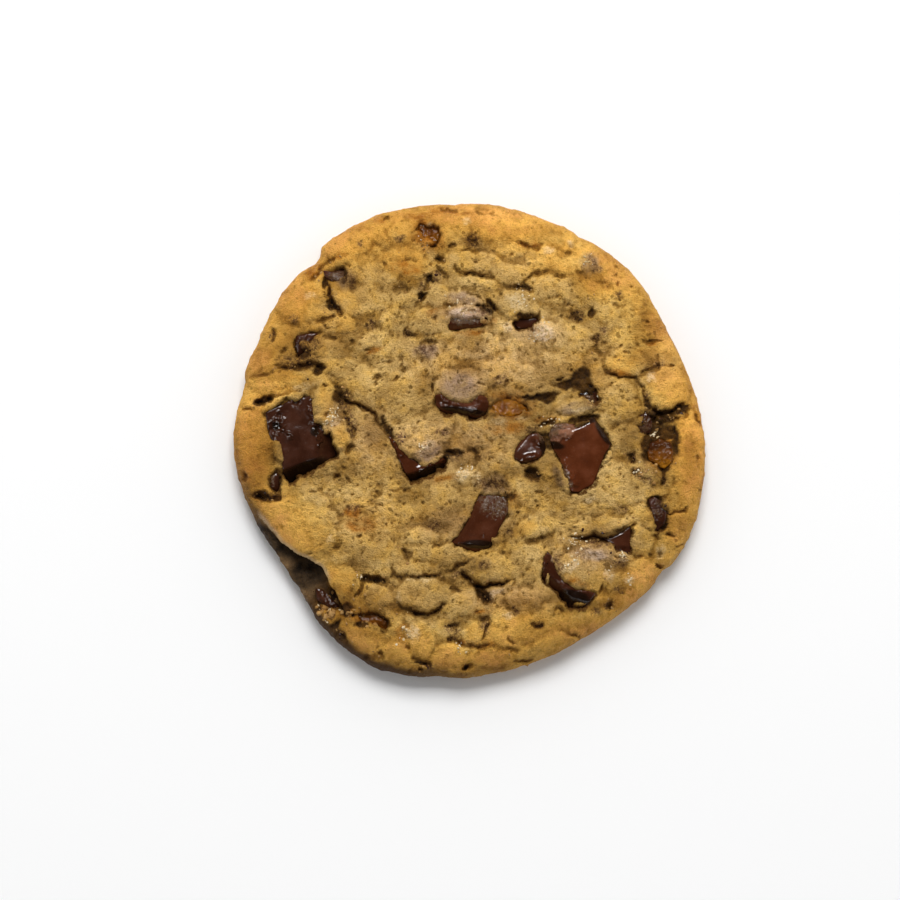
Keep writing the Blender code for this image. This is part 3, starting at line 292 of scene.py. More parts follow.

# Patches where something else shows in or through the dough, and patches of painted light and shade.
STAINS_AND_PAINTED_LIGHT = {
    # chocolate dust and thin dough over chocolate, a greyish purple brown
    "cocoa": [
        (0.3, 38, 1.8, 1.8), (23.2, 34.2, 1, 1.6, 30), (24, 32.6, 1.4, 0.8, 30), (-33.7, 22.8, 1.3, 1),
        (-18.8, 21.8, 1.8, 1.2, 20), (-8.8, 17, 2.2, 1.2, 10), (20, 23.6, 1.7, 1.4, -30),
        (23.6, 19, 1.3, 1.2), (25.2, 20.8, 0.9, 0.9), (28.8, -13.5, 1.1, 0.8), (31.8, -6.5, 1.2, 1),
        (33.4, -7.8, 1.1, 0.8), (-3, -3.4, 1.5, 0.9), (-3.8, -36, 1.7, 1.1), (-3.4, -37.6, 1.3, 0.8),
        (-23.2, 30.3, 1.4, 2.4, 20), (-32.8, 14.8, 4.4, 1.8), (-31, 18, 2.6, 2), (-23.8, 7, 1.6, 2.6, 20),
        (-22.8, 2.6, 1.2, 3, 10), (-6.6, 31, 1.4, 1.4), (-9.3, 28.8, 1.2, 1.2), (2.6, 24, 1.6, 1.2),
        (9.8, 29, 2, 0.8, -10), (33.6, 3, 1.5, 3.2), (30.4, -3.6, 1.3, 1.3), (35.6, -13.4, 2, 3.2, 15),
        (39.8, 5.6, 1.6, 0.9, 20), (33.4, 8, 0.9, 1.4), (23, 7.2, 2, 1.4, -30), (24.5, -19.6, 4, 0.9),
        (28.2, -23.4, 1.8, 1.2), (28.2, -28.4, 1.3, 1.1), (26.4, -31.4, 1.4, 1, 20), (2.6, -35.4, 1.2, 1.9),
        (12.8, -35.3, 1.6, 0.7, -10), (7.2, -17.8, 1.1, 0.8), (-7.5, -43, 1.2, 0.8, -20),
        (-8.8, -42.6, 1.6, 0.8, -20), (-13.6, 0, 1.4, 1.4), (-5.8, 1.2, 1.6, 0.8), (2.8, -30, 1.2, 1.6, 20),
        (-2.6, -25.6, 1.8, 0.9, 20), (-26, 25.4, 1.1, 1.4), (2.4, -24, 1.6, 0.9), (-22.4, -13, 2, 1),
        (16.4, -24, 1.2, 2.6, 10), (23.8, -32.6, 1.2, 0.8), (-38.4, -11, 3, 1), (-40, 7, 2, 0.8, 10),
        (35.8, 14.6, 1.2, 0.8), (-37.7, 19.8, 0.6, 1.8), (-21, 37.4, 0.8, 1.2), (11.6, 1.8, 2.2, 0.9, 20),
        (-12.2, 20.2, 0.9, 0.9), (3.6, -8.4, 3.4, 1.6), (11.8, -7.2, 1.3, 1.3), (36.6, -7.4, 0.8, 1.6, 10),
        (-32, -28.6, 1.5, 1.5), (5.6, 11.2, 1.4, 1.2), (-7, -16.4, 1.2, 1.2), (8.4, -32.6, 1, 1),
        (-13.6, 38.2, 1.2, 0.7), (28.2, 27.8, 1, 1),
    ],
    # caramel soaked into the crumb
    "amber": [
        (8.4, 5, 3.4, 1.8, -8), (-6.6, 38.4, 1, 2.4), (-22.5, -14, 2, 1.2), (-21, -16.4, 3.2, 1.6),
        (7.2, 6.2, 5, 3), (6.4, 2, 4, 1.6), (-8.2, 38.6, 3.4, 3.2), (-8.6, 40.2, 3, 2.2, -20),
        (36.4, -1.4, 3, 4), (-9, 43, 4, 1, 10), (-5.4, 44, 1.8, 0.9, 20), (-2, 43.2, 3.4, 0.5),
        (7.6, -11, 1.6, 0.8), (2.2, -33, 1.8, 0.8), (-20, -33.8, 4.2, 1.6, -10), (-12.5, -36.6, 2, 2),
        (-5.6, -7.6, 3.2, 0.8, 10), (2, -38.8, 3.4, 0.7), (-0.5, -38.8, 2.4, 0.9), (-30, 32, 2.6, 1.4, 30),
        (-25, 34.9, 2, 0.6, 12), (-17.4, 42.2, 1.6, 0.8, 20), (36, -2, 4, 4.6), (43.2, 5, 1, 2.6, 20),
        (14.2, 3.6, 2.6, 0.8), (20.4, -27.4, 3, 0.9, -20), (-7.4, 23.8, 1.2, 0.9), (3.4, 22.2, 1.6, 0.9),
        (10, 23.4, 2, 0.6), (0, 20.2, 3.4, 0.6, 6), (-12.5, 32.4, 3.4, 1.4, -15), (28, 12.6, 2.6, 0.8),
        (-23.6, -32.4, 1.8, 1.6), (11.4, 37.2, 2.6, 0.6), (34.6, 18.4, 2, 0.5), (-18.4, 16.8, 1.8, 0.6, 20),
    ],
    # greasy patches, glossier and with a pale painted sheen
    "pale": [
        (14.2, 19.2, 1.8, 0.6, 10), (13.4, 20.6, 2.4, 1.4), (-2.6, 24, 2, 0.9), (-25.6, 3.3, 1.5, 0.8, 10),
        (-24.6, 8, 0.6, 0.6), (-1.6, -7, 1.8, 1.4, 20), (18.6, -24.2, 2, 1.2, 20), (30, -26.6, 1.2, 0.9),
        (28.8, -22.9, 1, 0.5), (-30.6, 27.2, 1.4, 0.8), (-11, -36.8, 1.4, 1.8), (5, 3.3, 1.6, 0.9),
        (9.6, 3.9, 1.4, 0.6), (-8.4, -1.2, 1.3, 1, 20), (26.2, -25.8, 1.2, 1.6), (7.2, -33.4, 1.3, 0.8),
        (8.6, 26, 2.6, 1.6, -15), (-0.8, 41.6, 1, 0.8), (15, 36, 1.4, 1), (19.2, 37.4, 0.8, 0.8),
        (34.2, 12, 1.2, 1.2), (22.4, -11.5, 1.2, 0.7, 20), (6.8, 21.2, 1.2, 1), (-31.8, 9.8, 2.4, 0.9, 10),
        (4.6, -29.2, 2, 0.6, 15), (-13.8, -30.2, 0.6, 1.2), (-9.5, -26.6, 3.4, 0.6, 3),
        (35.8, -3.9, 0.8, 0.6), (20.6, 5.6, 2, 0.5, 10), (36, -21.4, 1, 1.4), (-26.6, -19, 1, 1),
        (23.2, -22, 2.4, 1.2), (1, -7.6, 1, 1.6), (-7.6, 40.9, 0.9, 0.7),
    ],
    # thin dough over chocolate, pinkish grey
    "film": [
        (-2.3, 9.8, 4.4, 3.4), (-0.8, 23.8, 4.6, 1.8), (-1.2, 26.6, 3.6, 1.6, -8),
        (-8.2, -2.6, 3.6, 1.6, 24), (4.2, -8.4, 2.8, 2), (19.4, 5.6, 3.8, 1.4, 8),
        (22.4, -21.8, 4.4, 1.4, -8), (16.4, -7, 1, 2.6, 20), (-8.6, 16.6, 3, 1.6), (-24, 30.4, 2, 2.2, 20),
        (4.4, -9.6, 3.2, 1.6), (22.8, 33.6, 2.2, 2.4, 20),
    ],
    # hollows where melted chocolate lies dark; some patches are painted shadow, as along the eastern
    # chunk's top edge
    "hollow": [
        (21.1, 10.6, 2, 1.7, -30), (20.8, 2.7, 2.1, 0.6, 21), (37.8, 0.6, 1.2, 0.8),
        (-28.8, -32.2, 1, 0.7, -30), (-26.8, -33.6, 0.9, 0.8), (-25.8, -35.6, 0.8, 1, 30),
        (-23.6, -33.4, 1.2, 0.6, -20), (-30.6, -30.4, 1, 1.2), (-31, -25, 1.8, 1.2, -30),
        (-21, -35.2, 1.4, 0.6, -10), (-27.4, -31, 1.2, 0.7, -30), (34.6, 2.4, 1.5, 3.8),
        (36.8, 4.3, 2.9, 1.6, 4), (38.9, 0, 0.9, 3.4, 4), (33.4, -1.6, 1.3, 3, -6),
        (36.6, -5.2, 1.2, 1.2, -20), (40.4, 6, 1.6, 0.8, 20), (36.6, 1.4, 2.6, 1.8),
        (33.6, 6.4, 0.7, 1.2, 20), (-39.6, -10.6, 1.6, 0.7, -10), (-39.2, 7.4, 1.7, 0.6, 14),
        (-31.6, 16.4, 1.2, 1.2, 40), (-28.9, 13.2, 0.8, 1.3, -40), (20.6, 11.4, 1.8, 2.6, -30),
        (22.4, 9, 1.2, 1.4), (18.2, 10.4, 2.2, 1), (-30.6, -27.6, 2.4, 1.4, -30),
        (-17, -34.6, 1.6, 1.1, -10), (28.6, -17.4, 1.5, 0.9, 30), (36.4, -15.6, 0.9, 1.8, 10),
        (35, -11.6, 2, 0.9, 10), (-9.6, 27, 0.6, 0.8, 30), (-9.4, -42.6, 1.5, 0.4, -20),
        (10.2, 23.3, 2.4, 0.6), (11.7, -6.6, 1.7, 1.2, -25), (-4.7, -3.2, 0.7, 1.2, -25),
        (-3, -2.6, 1.5, 0.7, 6), (15.4, -1.2, 1.6, 1, -12), (13.9, -0.4, 1.7, 1.6, -20),
        (14.4, 2.9, 1.8, 0.5, 20), (21.4, 3.7, 3.2, 0.7, 10), (-29, -29.6, 2.8, 1.9, -40),
        (-26, -30.9, 2.4, 1, -42), (2.1, -29.2, 1, 1.9, 35), (-15.9, 2, 0.5, 2.6, 30), (7.2, -11, 1.4, 0.7),
        (-18.6, -26.6, 2.4, 0.8, -4), (-24, -32.4, 1.4, 0.9), (-24.6, -37, 0.9, 1.5, 30),
        (-26.6, 25.4, 0.8, 1.2), (-7.9, 30.4, 0.8, 0.7), (-6, 34.3, 1, 0.4, -20),
        (23.1, 24.1, 0.55, 0.9, -15), (12.4, 7.8, 3.4, 0.6, 2), (14.8, 8, 1.4, 1, 10),
        (2.6, 24.6, 1.8, 0.6, -20), (-25.4, 8, 0.9, 1.2), (-27.8, 29.4, 0.6, 1),
        (-0.8, -43.1, 0.6, 0.4, 20), (4, 25.3, 0.5, 1.2, 35), (-37, -7.8, 1.3, 2.4, -15),
    ],
    # lighter crumb, partly its own tone and partly painted light; painted shade; more tawny and more ashen
    # crumb
    "light": [
        (-42, 3, 3, 8), (42.4, 2, 2.6, 6), (18, 24, 3.4, 3), (24, 30, 4, 3), (36, 18, 3, 3),
        (24, 12.4, 2.4, 3), (-31, 6.4, 2.4, 3), (-11, -36, 4, 3), (1, -36, 3, 3), (-29, 0, 3, 3),
        (24.6, 2, 1.4, 5), (30, -17.4, 2, 4), (-38, 5, 2, 3), (0, 6.4, 1.6, 0.8), (19, 24, 4, 2),
        (-18, 24, 3, 3), (0, 24, 3, 3), (13, -17, 3, 2), (24, -11, 5, 3), (0, 29.6, 4, 3), (15, 22, 7, 3),
        (-37, 10, 4, 3), (36, 8, 3, 3), (-18, 18, 4, 3), (-11, 13, 4, 3), (26.5, 12, 2, 4), (26, -6, 3, 4),
        (18, -17, 5, 2.4), (-31, -12, 4, 1.6), (10, -10, 4, 2), (6, 18, 17, 6.5), (14, 19.4, 8, 5),
        (-20, -15, 11, 6), (-4, -37.4, 16, 4), (15, 33.6, 12, 4.6, -15), (31, 20, 6, 7), (-11, 1, 3.6, 2.4),
        (27, 26, 5, 5), (1, -6.8, 3.6, 2.2), (-19, 24.4, 3, 2), (-6, 18, 3, 2), (-18, 12.5, 3, 4.6),
        (-33, -15, 7, 4, -40), (-23, -16.5, 4, 4.4), (24, -9, 6, 3.4), (12, -22.5, 2.4, 2.8),
        (6, -36, 5, 3.2), (-17.6, -24.2, 3, 1.2), (1, 29.8, 4, 1.2), (20, 37, 4, 2, -30),
        (5, 42.6, 12, 2, -4), (31, -12, 3, 3), (-24, -11, 5, 2), (42, -2, 2.4, 8), (39, 10, 2.4, 3),
        (34, 18, 5, 3, -60), (32, -26, 4, 2.6, 40), (-12, -18, 3, 2), (0, 12, 3, 2),
    ],
    # patches of painted shade
    "dusk": [
        (-6, 6, 3, 2.4), (-18, 0, 2.4, 3), (-24, -6, 3, 3), (24, -18, 3, 2.6), (5, -18, 5, 2.4),
        (-6, -24, 3, 2.4), (36, -6, 2.4, 3), (30, 0, 2.4, 3), (0, 18, 3, 2.4), (12.4, -1, 3.4, 7),
        (0, -3, 5, 3), (-12, -6, 4, 3), (-4, -15, 6, 3), (5, -19, 4, 2), (18, -30.6, 4, 1.4),
        (34, 21, 4, 4), (-1, 13, 3, 2), (-39.6, -10.6, 3.4, 1.4, -8), (-33, 14.4, 5, 1.8, 4),
        (-26, -34, 5, 3, -40), (6, 6.6, 3, 1.6), (-12, -6.6, 4, 1.2, -15), (42, -4, 2, 5), (9, 7, 6, 2),
        (17, 11.4, 4, 3), (24, -18.4, 4, 1.6, -6), (4, -8.6, 4, 1.4), (-33, -7, 5, 2.4, 15), (8, 5, 6, 2.4),
        (6, -6.4, 5, 1.8), (24, -17.6, 4, 1.4, -5), (-21, -31, 6, 3, -20), (-18, 1, 2.4, 4, 30),
        (-40, -2, 5, 9), (-19, -36, 5, 2, -20), (18, -30, 5, 2), (33, 16, 4, 2), (22, 30, 4, 3),
        (-24, 18, 3, 3), (-32, 18, 6, 4, 20), (12, 3.4, 4, 5), (-37, 12.4, 4, 2), (-31, 5, 8, 2, 90),
        (22, 11, 4.6, 4), (-25.4, 30.8, 3, 3), (-12, 29.6, 3, 1.6), (-6, 36.4, 2, 1.6), (0, 37.8, 2.4, 1.2),
        (-24, 8, 2, 3), (18, 12.4, 6, 2.4, -5), (8, 9, 7, 1.6), (13, 5, 2.6, 2.2), (6, 5, 4, 2.4),
        (12, -6.6, 3.2, 2.2), (16, -6, 1.6, 4, 20), (-12, -7.8, 4, 1.4, -20), (-24, -5, 3, 2),
        (-12, -11, 4, 1.6), (6.6, -11, 2, 3), (0, -24, 4, 2), (-2, -27, 5, 1.2), (-21, -32.4, 6, 2, -10),
        (-19, -35, 4, 1.4, -10), (22, -31.6, 6, 1.4, 10), (33.6, 2, 3.4, 6), (30.4, -3.4, 2, 1.6),
        (36, -14, 2.8, 4.4, 15), (24.5, -18.6, 5, 1), (9, -31, 4, 1.2), (-13, -32, 4, 1),
        (-3, -35, 2.4, 1.2), (-30.4, -6.4, 4, 1.6, 25), (-9, 10, 2, 3), (-27, -34, 2.6, 2.6),
        (-33, 13.8, 5, 1.4), (19.6, 23.6, 2.4, 1.6),
    ],
    "tawny": [
        (-28, 24, 12, 8, 50), (-14, 37, 14, 6, 15), (10, 36, 16, 6, -20), (24, 14, 6, 5), (-16, -31, 8, 3),
        (12, -31, 6, 3), (42, 2, 5, 12), (-42, -2, 4, 10), (7, -12, 3, 2), (-20, -15, 6, 4),
    ],
    "ashen": [
        (2, 14, 14, 6), (-4, -1, 12, 5), (-19, 0, 4, 6), (24, -22, 8, 4, -10), (12, 20, 6, 3),
        (-2, 24, 6, 3), (6, -30, 8, 3), (-2, -16, 10, 3), (36, 14, 4, 4), (-26, 4, 3, 4),
    ],
    # browner, more golden plates
    "golden": [
        (-33, -16, 8, 6, -45), (-41.5, -1, 9, 4, 88), (-36, 10.5, 6, 2.4), (-27.6, 7.5, 1.8, 4),
        (-25, 0, 2.2, 2), (-23.5, 38.6, 7, 3.6, 33), (-33.5, 27, 4, 6, 30), (0, 43, 18, 2.4),
        (6, 40.6, 8, 3, -8), (-12.4, 33.4, 4.6, 2.8, -15), (27, 33, 6, 3, -45), (24.5, 29.4, 3.4, 3),
        (36.6, 21, 5, 3, -65), (38, 10.5, 4.6, 4, 10), (42, -4, 9, 3.4, 88), (39.6, -16, 3, 4),
        (33.4, -25.4, 4.4, 3.2, 30), (29.4, -30.4, 4, 2, 40), (20, -36, 7, 2.4, 10), (8, -36.6, 7, 4),
        (4, -41.6, 4.6, 2), (-4, -41.4, 3.6, 2.6), (-9.6, -38.2, 2.8, 3.4), (-14, -40, 3, 2.6),
        (-20.6, -38, 4.4, 2.6, -30), (-24.4, -26.4, 3, 3, -30), (-12.6, 30.6, 3, 1, -20),
        (10.6, -17, 3, 1.6, 15), (-24, 21.6, 2.6, 1.6, 10), (28.6, 14.4, 3, 2), (-40.4, 14.5, 3, 4, 20),
        (0.5, -36.5, 1.8, 2.4),
    ],
}

# Where the edge of a patch begins and ends, as shares of its half width.
USUAL_EDGE = (0.45, 1.25)
STAIN_AND_LIGHT_EDGES = {"hollow": (0.7, 1.2), "light": (0.2, 1.5), "dusk": (0.2, 1.5), "tawny": (0.1, 1.6),
               "ashen": (0.1, 1.6)}


# ---- repeatable noise over the plan ----


def hashed(ix, iy, seed):
    """A repeatable random number from 0 to 1 for each whole-numbered place."""
    mixed = ix.astype(np.int64) * 374761393 + iy.astype(np.int64) * 668265263 + seed * 982451653
    mixed &= 0x7FFFFFFF
    mixed = ((mixed ^ (mixed >> 13)) * 1274126177) & 0x7FFFFFFF
    return ((mixed ^ (mixed >> 16)) & 0xFFFF) / 65535.0


def swell(x, y, size, seed):
    """Smooth random hills between about -1 and 1, one for each size of distance."""
    u, v = x / size, y / size
    iu, iv = np.floor(u), np.floor(v)
    total = np.zeros_like(u)
    for corner_u in (0, 1):
        for corner_v in (0, 1):
            turn = 2 * np.pi * hashed(iu + corner_u, iv + corner_v, seed)
            du, dv = u - iu - corner_u, v - iv - corner_v
            total += (np.cos(turn) * du + np.sin(turn) * dv) * fade(1 - np.abs(du)) * fade(1 - np.abs(dv))
    return 1.6 * total


def fade(value):
    return value**3 * (value * (value * 6 - 15) + 10)


def rough(x, y, size, octaves, seed):
    """Swells of halving size and height, each turned against the one before."""
    total, height = np.zeros_like(x), 1.0
    for octave in range(octaves):
        turn = 0.7 + 1.3 * octave
        along = x * math.cos(turn) + y * math.sin(turn)
        across = y * math.cos(turn) - x * math.sin(turn)
        total += height * swell(along, across, size / 2**octave, seed + octave)
        height *= 0.5
    return total


def warped(x, y, amount, size, octaves, seeds):
    """The points moved about by noise, so that what is drawn there gets uneven edges."""
    shift_x, shift_y = (amount * rough(x, y, size, octaves, seed) for seed in seeds)
    return x + shift_x, y + shift_y


def cells(x, y, size, seed, chance=1.0):
    """Distance to the nearest of scattered points, in units of size."""
    u, v = x / size, y / size
    iu, iv = np.floor(u), np.floor(v)
    nearest = np.full(u.shape, 9.0)
    for step_u in (-1, 0, 1):
        for step_v in (-1, 0, 1):
            cu, cv = iu + step_u, iv + step_v
            gap = np.hypot(cu + hashed(cu, cv, seed) - u, cv + hashed(cu, cv, seed + 7) - v)
            nearest = np.minimum(nearest, np.where(hashed(cu, cv, seed + 13) < chance, gap, 9.0))
    return nearest


def smooth_between(low, high, value):
    share = np.clip((value - low) / (high - low), 0, 1)
    return share * share * (3 - 2 * share)


# ---- places over the plan ----


def ellipse_reach(x, y, cx, cy, length, width, heading=0):
    """0 at an ellipse's centre, 1 on it, more outside."""
    turn = math.radians(heading)
    along = ((x - cx) * math.cos(turn) + (y - cy) * math.sin(turn)) / length
    across = ((y - cy) * math.cos(turn) - (x - cx) * math.sin(turn)) / width
    return np.hypot(along, across)


def within(x, y, patches, edge):
    """1 inside any of the patches, 0 outside them all, changing over the edge."""
    mask = np.zeros_like(x)
    for patch in patches:
        mask = np.maximum(mask, 1 - smooth_between(*edge, ellipse_reach(x, y, *patch)))
    return mask


def segment_gap(x, y, start, end):
    """Distance to a segment, how far along it the nearest place is, and the side of it, 1 or -1."""
    length = math.dist(start, end)
    run, rise = (end[0] - start[0]) / length, (end[1] - start[1]) / length
    dx, dy = x - start[0], y - start[1]
    along = np.clip(dx * run + dy * rise, 0, length)
    return np.hypot(dx - along * run, dy - along * rise), along, np.sign(rise * dx - run * dy)


def line_gap(x, y, points):
    """Distance to a run of points, the share of the run at the nearest place, and the side of it."""
    total, done = sum(math.dist(a, b) for a, b in zip(points, points[1:])), 0.0
    gap, share, side = np.full(x.shape, 1e9), np.zeros_like(x), np.zeros_like(x)
    for start, end in zip(points, points[1:]):
        here, along, here_side = segment_gap(x, y, start, end)
        closer = here < gap
        gap = np.where(closer, here, gap)
        share = np.where(closer, (done + along) / total, share)
        side = np.where(closer, here_side, side)
        done += math.dist(start, end)
    return gap, share, side


def footprint(node):
    """The sides of a CAD piece's flat floor, as pairs of points."""
    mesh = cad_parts[node].data
    floor = min(vert.co.z for vert in mesh.vertices)
    counted = {}
    for polygon in mesh.polygons:
        corners = [mesh.vertices[index].co for index in polygon.vertices]
        if max(corner.z for corner in corners) > floor + 1e-5:
            continue
        places = [(round(corner.x / MM, 3), round(corner.y / MM, 3)) for corner in corners]
        for side in zip(places, places[1:] + places[:1]):
            key = tuple(sorted(side))
            counted[key] = counted.get(key, 0) + 1
    return [side for side, count in counted.items() if count == 1]


def signed_gap(x, y, sides):
    """Distance to an outline given as sides, negative inside it."""
    gap, inside = np.full(x.shape, 1e9), np.zeros(x.shape, bool)
    for (x0, y0), (x1, y1) in sides:
        gap = np.minimum(gap, segment_gap(x, y, (x0, y0), (x1, y1))[0])
        if y0 != y1:
            inside ^= ((y0 > y) != (y1 > y)) & (x < (x1 - x0) * (y - y0) / (y1 - y0) + x0)
    return np.where(inside, -gap, gap)


# ---- meshes and objects ----


def placed(name, data):
    """A new object with this mesh, camera or lamp, in the scene."""
    obj = bpy.data.objects.new(name, data)
    bpy.context.scene.collection.objects.link(obj)
    return obj


def set_mask(mesh, name, values):
    """Gives each point of a mesh a number that its material can read."""
    mesh.attributes.new(name, "FLOAT", "POINT").data.foreach_set("value", values.astype(np.float32))


def ray_tree(mesh):
    """A mesh's surface, in a form that rays can be sent at."""
    corners = [vert.co for vert in mesh.vertices]
    return BVHTree.FromPolygons(corners, [tuple(polygon.vertices) for polygon in mesh.polygons])


def straight_down(tree, x, y):
    """Where a ray from above meets a surface, or None."""
    high = 30 * MM
    return tree.ray_cast(Vector((x * MM, y * MM, high)), Vector((0, 0, -1)))[0]


# ---- the dough ----


def outline_from_cad():
    """Angles and radii of the dough's widest line, from the CAD node."""
    points = [vert.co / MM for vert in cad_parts["dough"].data.vertices]
    rim = [p for p in points if abs(p.z - LIP) < 0.02 and math.hypot(p.x, p.y) > 36]
    polar = sorted({(round(math.atan2(p.y, p.x), 4), math.hypot(p.x, p.y)) for p in rim})
    return np.array([angle for angle, _ in polar]), np.array([radius for _, radius in polar])


RIM_ANGLES, RIM_RADII = outline_from_cad()


def plan_grid():
    """x, y, share of the radius and angle for each point of the top, cells keeping an even size."""
    line = np.linspace(-1, 1, TOP_CELLS + 1)
    u, v = np.meshgrid(line, line, indexing="ij")
    wide = np.abs(u) > np.abs(v)
    with np.errstate(divide="ignore", invalid="ignore"):
        angle = np.where(wide, np.pi / 4 * v / u, np.pi / 2 - np.pi / 4 * u / v)
    share = np.where(wide, u, v)
    angle = np.where(share == 0, 0, np.where(share < 0, angle + np.pi, angle))
    angle = (angle + np.pi) % (2 * np.pi) - np.pi
    share = np.abs(share)
    radius = share * np.interp(angle, RIM_ANGLES, RIM_RADII, period=2 * np.pi)
    return radius * np.cos(angle), radius * np.sin(angle), share, angle


def plate_relief(x, y):
    """Height of the risen plates, which meet in creases."""
    wx, wy = warped(x, y, 0.5, 2.6, 3, (11, 23))
    best = np.zeros_like(x)
    for *patch, height in PLATES:
        best = np.maximum(best, height * np.clip(1 - ellipse_reach(wx, wy, *patch) ** 3, 0, 1) ** 0.7)
    return 0.86 * best


def crack_relief(x, y):
    """Depth of the cracks and pits."""
    wx, wy = warped(x, y, 0.42, 2.0, 3, (31, 37))
    broken = 0.5 + 0.5 * smooth_between(-0.5, 0.25, rough(x, y, 2.4, 2, 43))
    depth = np.zeros_like(x)
    for width, deep, points in CRACKS:
        cx, cy = points[len(points) // 2]
        near = np.hypot(x - cx, y - cy) < NEARBY
        gap, share, _ = line_gap(wx[near], wy[near], points)
        taper = np.sqrt(np.clip(1 - (2 * share - 1) ** 4, 0, 1)) * 0.7 + 0.3
        half = 0.42 * width * taper
        shape = np.clip(1 - gap / (half * 1.5 + 0.2), 0, 1) ** 1.2
        depth[near] = np.maximum(depth[near], deep * taper * shape * np.maximum(broken[near], deep - 1.3))
    for cx, cy, radius in PITS:
        gap = np.hypot(wx - cx, wy - cy) / radius
        depth = np.maximum(depth, (0.2 + 1.1 * radius) * (1 - smooth_between(0.2, 1.3, gap)))
    return depth


def small_pits(x, y):
    """The many pinholes that nobody would place by hand."""
    depth = np.zeros_like(x)
    for size, chance, radius, deep, seed in ((1.9, 0.5, 0.13, 0.4, 41), (1.1, 0.35, 0.17, 0.22, 47)):
        nearest = cells(x + 0.15 * swell(x, y, 0.5, 3), y, size, seed, chance)
        depth = np.maximum(depth, deep * (1 - smooth_between(radius * 0.5, radius * 1.4, nearest)))
    return depth


def crumb_relief(x, y):
    """The baked crumb: small soft clusters, finer grains on them, and slow unevenness below."""
    wx, wy = warped(x, y, 0.35, 1.4, 2, (53, 59))
    clusters = cells(wx, wy, 1.9, 61)
    grains = cells(wx, wy, 0.8, 67)
    patchy = 0.55 + 0.45 * smooth_between(-0.4, 0.6, rough(x, y, 7, 2, 71))
    folds = np.minimum(np.abs(swell(wx, wy, 3.1, 64)) * 1.6, 0.5)
    folds += np.minimum(np.abs(swell(wx, wy, 1.5, 66)), 0.3)
    relief = 0.19 * (0.5 - clusters**2) + 0.1 * (0.5 - grains**2) + 0.36 * folds
    return 0.82 * relief * patchy + 0.22 * rough(x, y, 7, 3, 73) + 0.09 * rough(x, y, 0.9, 2, 79)


def cover_depth(x, y):
    """How far in under the dough that lies over the toppings a point is, negative outside it."""
    wx, wy = warped(x, y, 0.3, 1.4, 2, (87, 88))
    covered = np.full(x.shape, -9.0)
    for patch in COVERS:
        covered = np.maximum(covered, 1.2 * (1 - ellipse_reach(wx, wy, *patch)) * min(patch[2:4]))
    return covered


def top_height(tree, x, y):
    """Height of a surface over a place, or of its part nearest to the place where it isn't over it."""
    hit = straight_down(tree, x, y)
    if hit is None:
        hit = tree.find_nearest(Vector((x * MM, y * MM, PLATEAU * MM)))[0]
    return hit.z / MM


# How dark the painted shade in the gap beside some of the pieces is, where it isn't as dark as beside the
# rest.
PAINTED_GAP_SHADES = {"chunk_south": 0.3, "chunk_north": 0.4, "chunk_northwest": 0.3, "chunk_rim_east": 0.4,
         "caramel_north": 0.1}
CHUNK_GAP_SHADE = 0.75
CARAMEL_GAP_SHADE = 0.35


def seat_pieces(x, y, height):
    """Sinks the dough under each chunk and caramel piece, and banks it up a little around them."""
    bank, painted_gap_shade = np.zeros_like(x), np.zeros_like(x)
    ragged = 0.5 * rough(x, y, 1.9, 3, 83)
    covered = cover_depth(x, y)
    for node in CHUNKS + CARAMELS:
        sides = footprint(node)
        cx = sum(a[0] + b[0] for a, b in sides) / (2 * len(sides))
        cy = sum(a[1] + b[1] for a, b in sides) / (2 * len(sides))
        near = np.hypot(x - cx, y - cy) < NEARBY
        here_x, here_y, local, over = x[near], y[near], height[near], covered[near]
        gap = np.maximum(signed_gap(here_x, here_y, sides) + ragged[near], over)
        close = gap < 1.2
        tree = ray_tree(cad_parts[node].data)
        top = np.full(gap.shape, 99.0)
        top[close] = [top_height(tree, px, py) for px, py in zip(here_x[close], here_y[close])]
        lying = top + 0.3 + 0.35 * smooth_between(0, 1, over)
        local = np.where(close & (over > 0), np.maximum(local, lying), local)
        sunk = np.minimum(local, top - 1.0)
        height[near] = np.where(close, sunk + (local - sunk) * smooth_between(-0.45, 0.3, gap), local)
        risen = smooth_between(0.1, 0.6, gap) * (1 - smooth_between(0.6, 2.2, gap))
        bank[near] = np.maximum(bank[near], risen)
        # Shade is painted into the gap beside the piece, darkest on the side away from the light, at the
        # top.
        shaded = np.maximum(signed_gap(here_x - 0.15, here_y + 0.45, sides) + ragged[near], over)
        strength = PAINTED_GAP_SHADES.get(node, CHUNK_GAP_SHADE if node in CHUNKS else CARAMEL_GAP_SHADE)
        painted_gap_shade[near] = np.maximum(painted_gap_shade[near], strength * (1 - smooth_between(-0.15, 0.4, shaded)))
    return height + 0.22 * bank, painted_gap_shade


def blurred(grid, reach):
    """The grid averaged over squares, twice over, so that the squares leave no trace."""
    for _ in range(2):
        for axis in (0, 1):
            first, last = np.take(grid, [0] * reach, axis), np.take(grid, [-1] * reach, axis)
            padded = np.concatenate([first, grid, last], axis)
            count, width = grid.shape[axis], 2 * reach + 1
            grid = sum(np.take(padded, range(k, k + count), axis) for k in range(width)) / width
    return grid


def stain_and_light_masks(x, y):
    """For each kind of stain and of painted light and shade, 1 inside its patches, their edges blurred and
    broken up.
    """
    wx, wy = warped(x, y, 0.38, 1.6, 3, (101, 103))
    edges = {kind: STAIN_AND_LIGHT_EDGES.get(kind, USUAL_EDGE) for kind in STAINS_AND_PAINTED_LIGHT}
    return {kind: within(wx, wy, patches, edges[kind]) for kind, patches in STAINS_AND_PAINTED_LIGHT.items()}


def turned_to(angle, middle, spread):
    """1 where an angle is close to a middle angle, fading to 0 past the spread, in degrees."""
    away = np.abs((np.degrees(angle) - middle + 180) % 360 - 180)
    return 1 - smooth_between(0.6 * spread, 1.6 * spread, away)


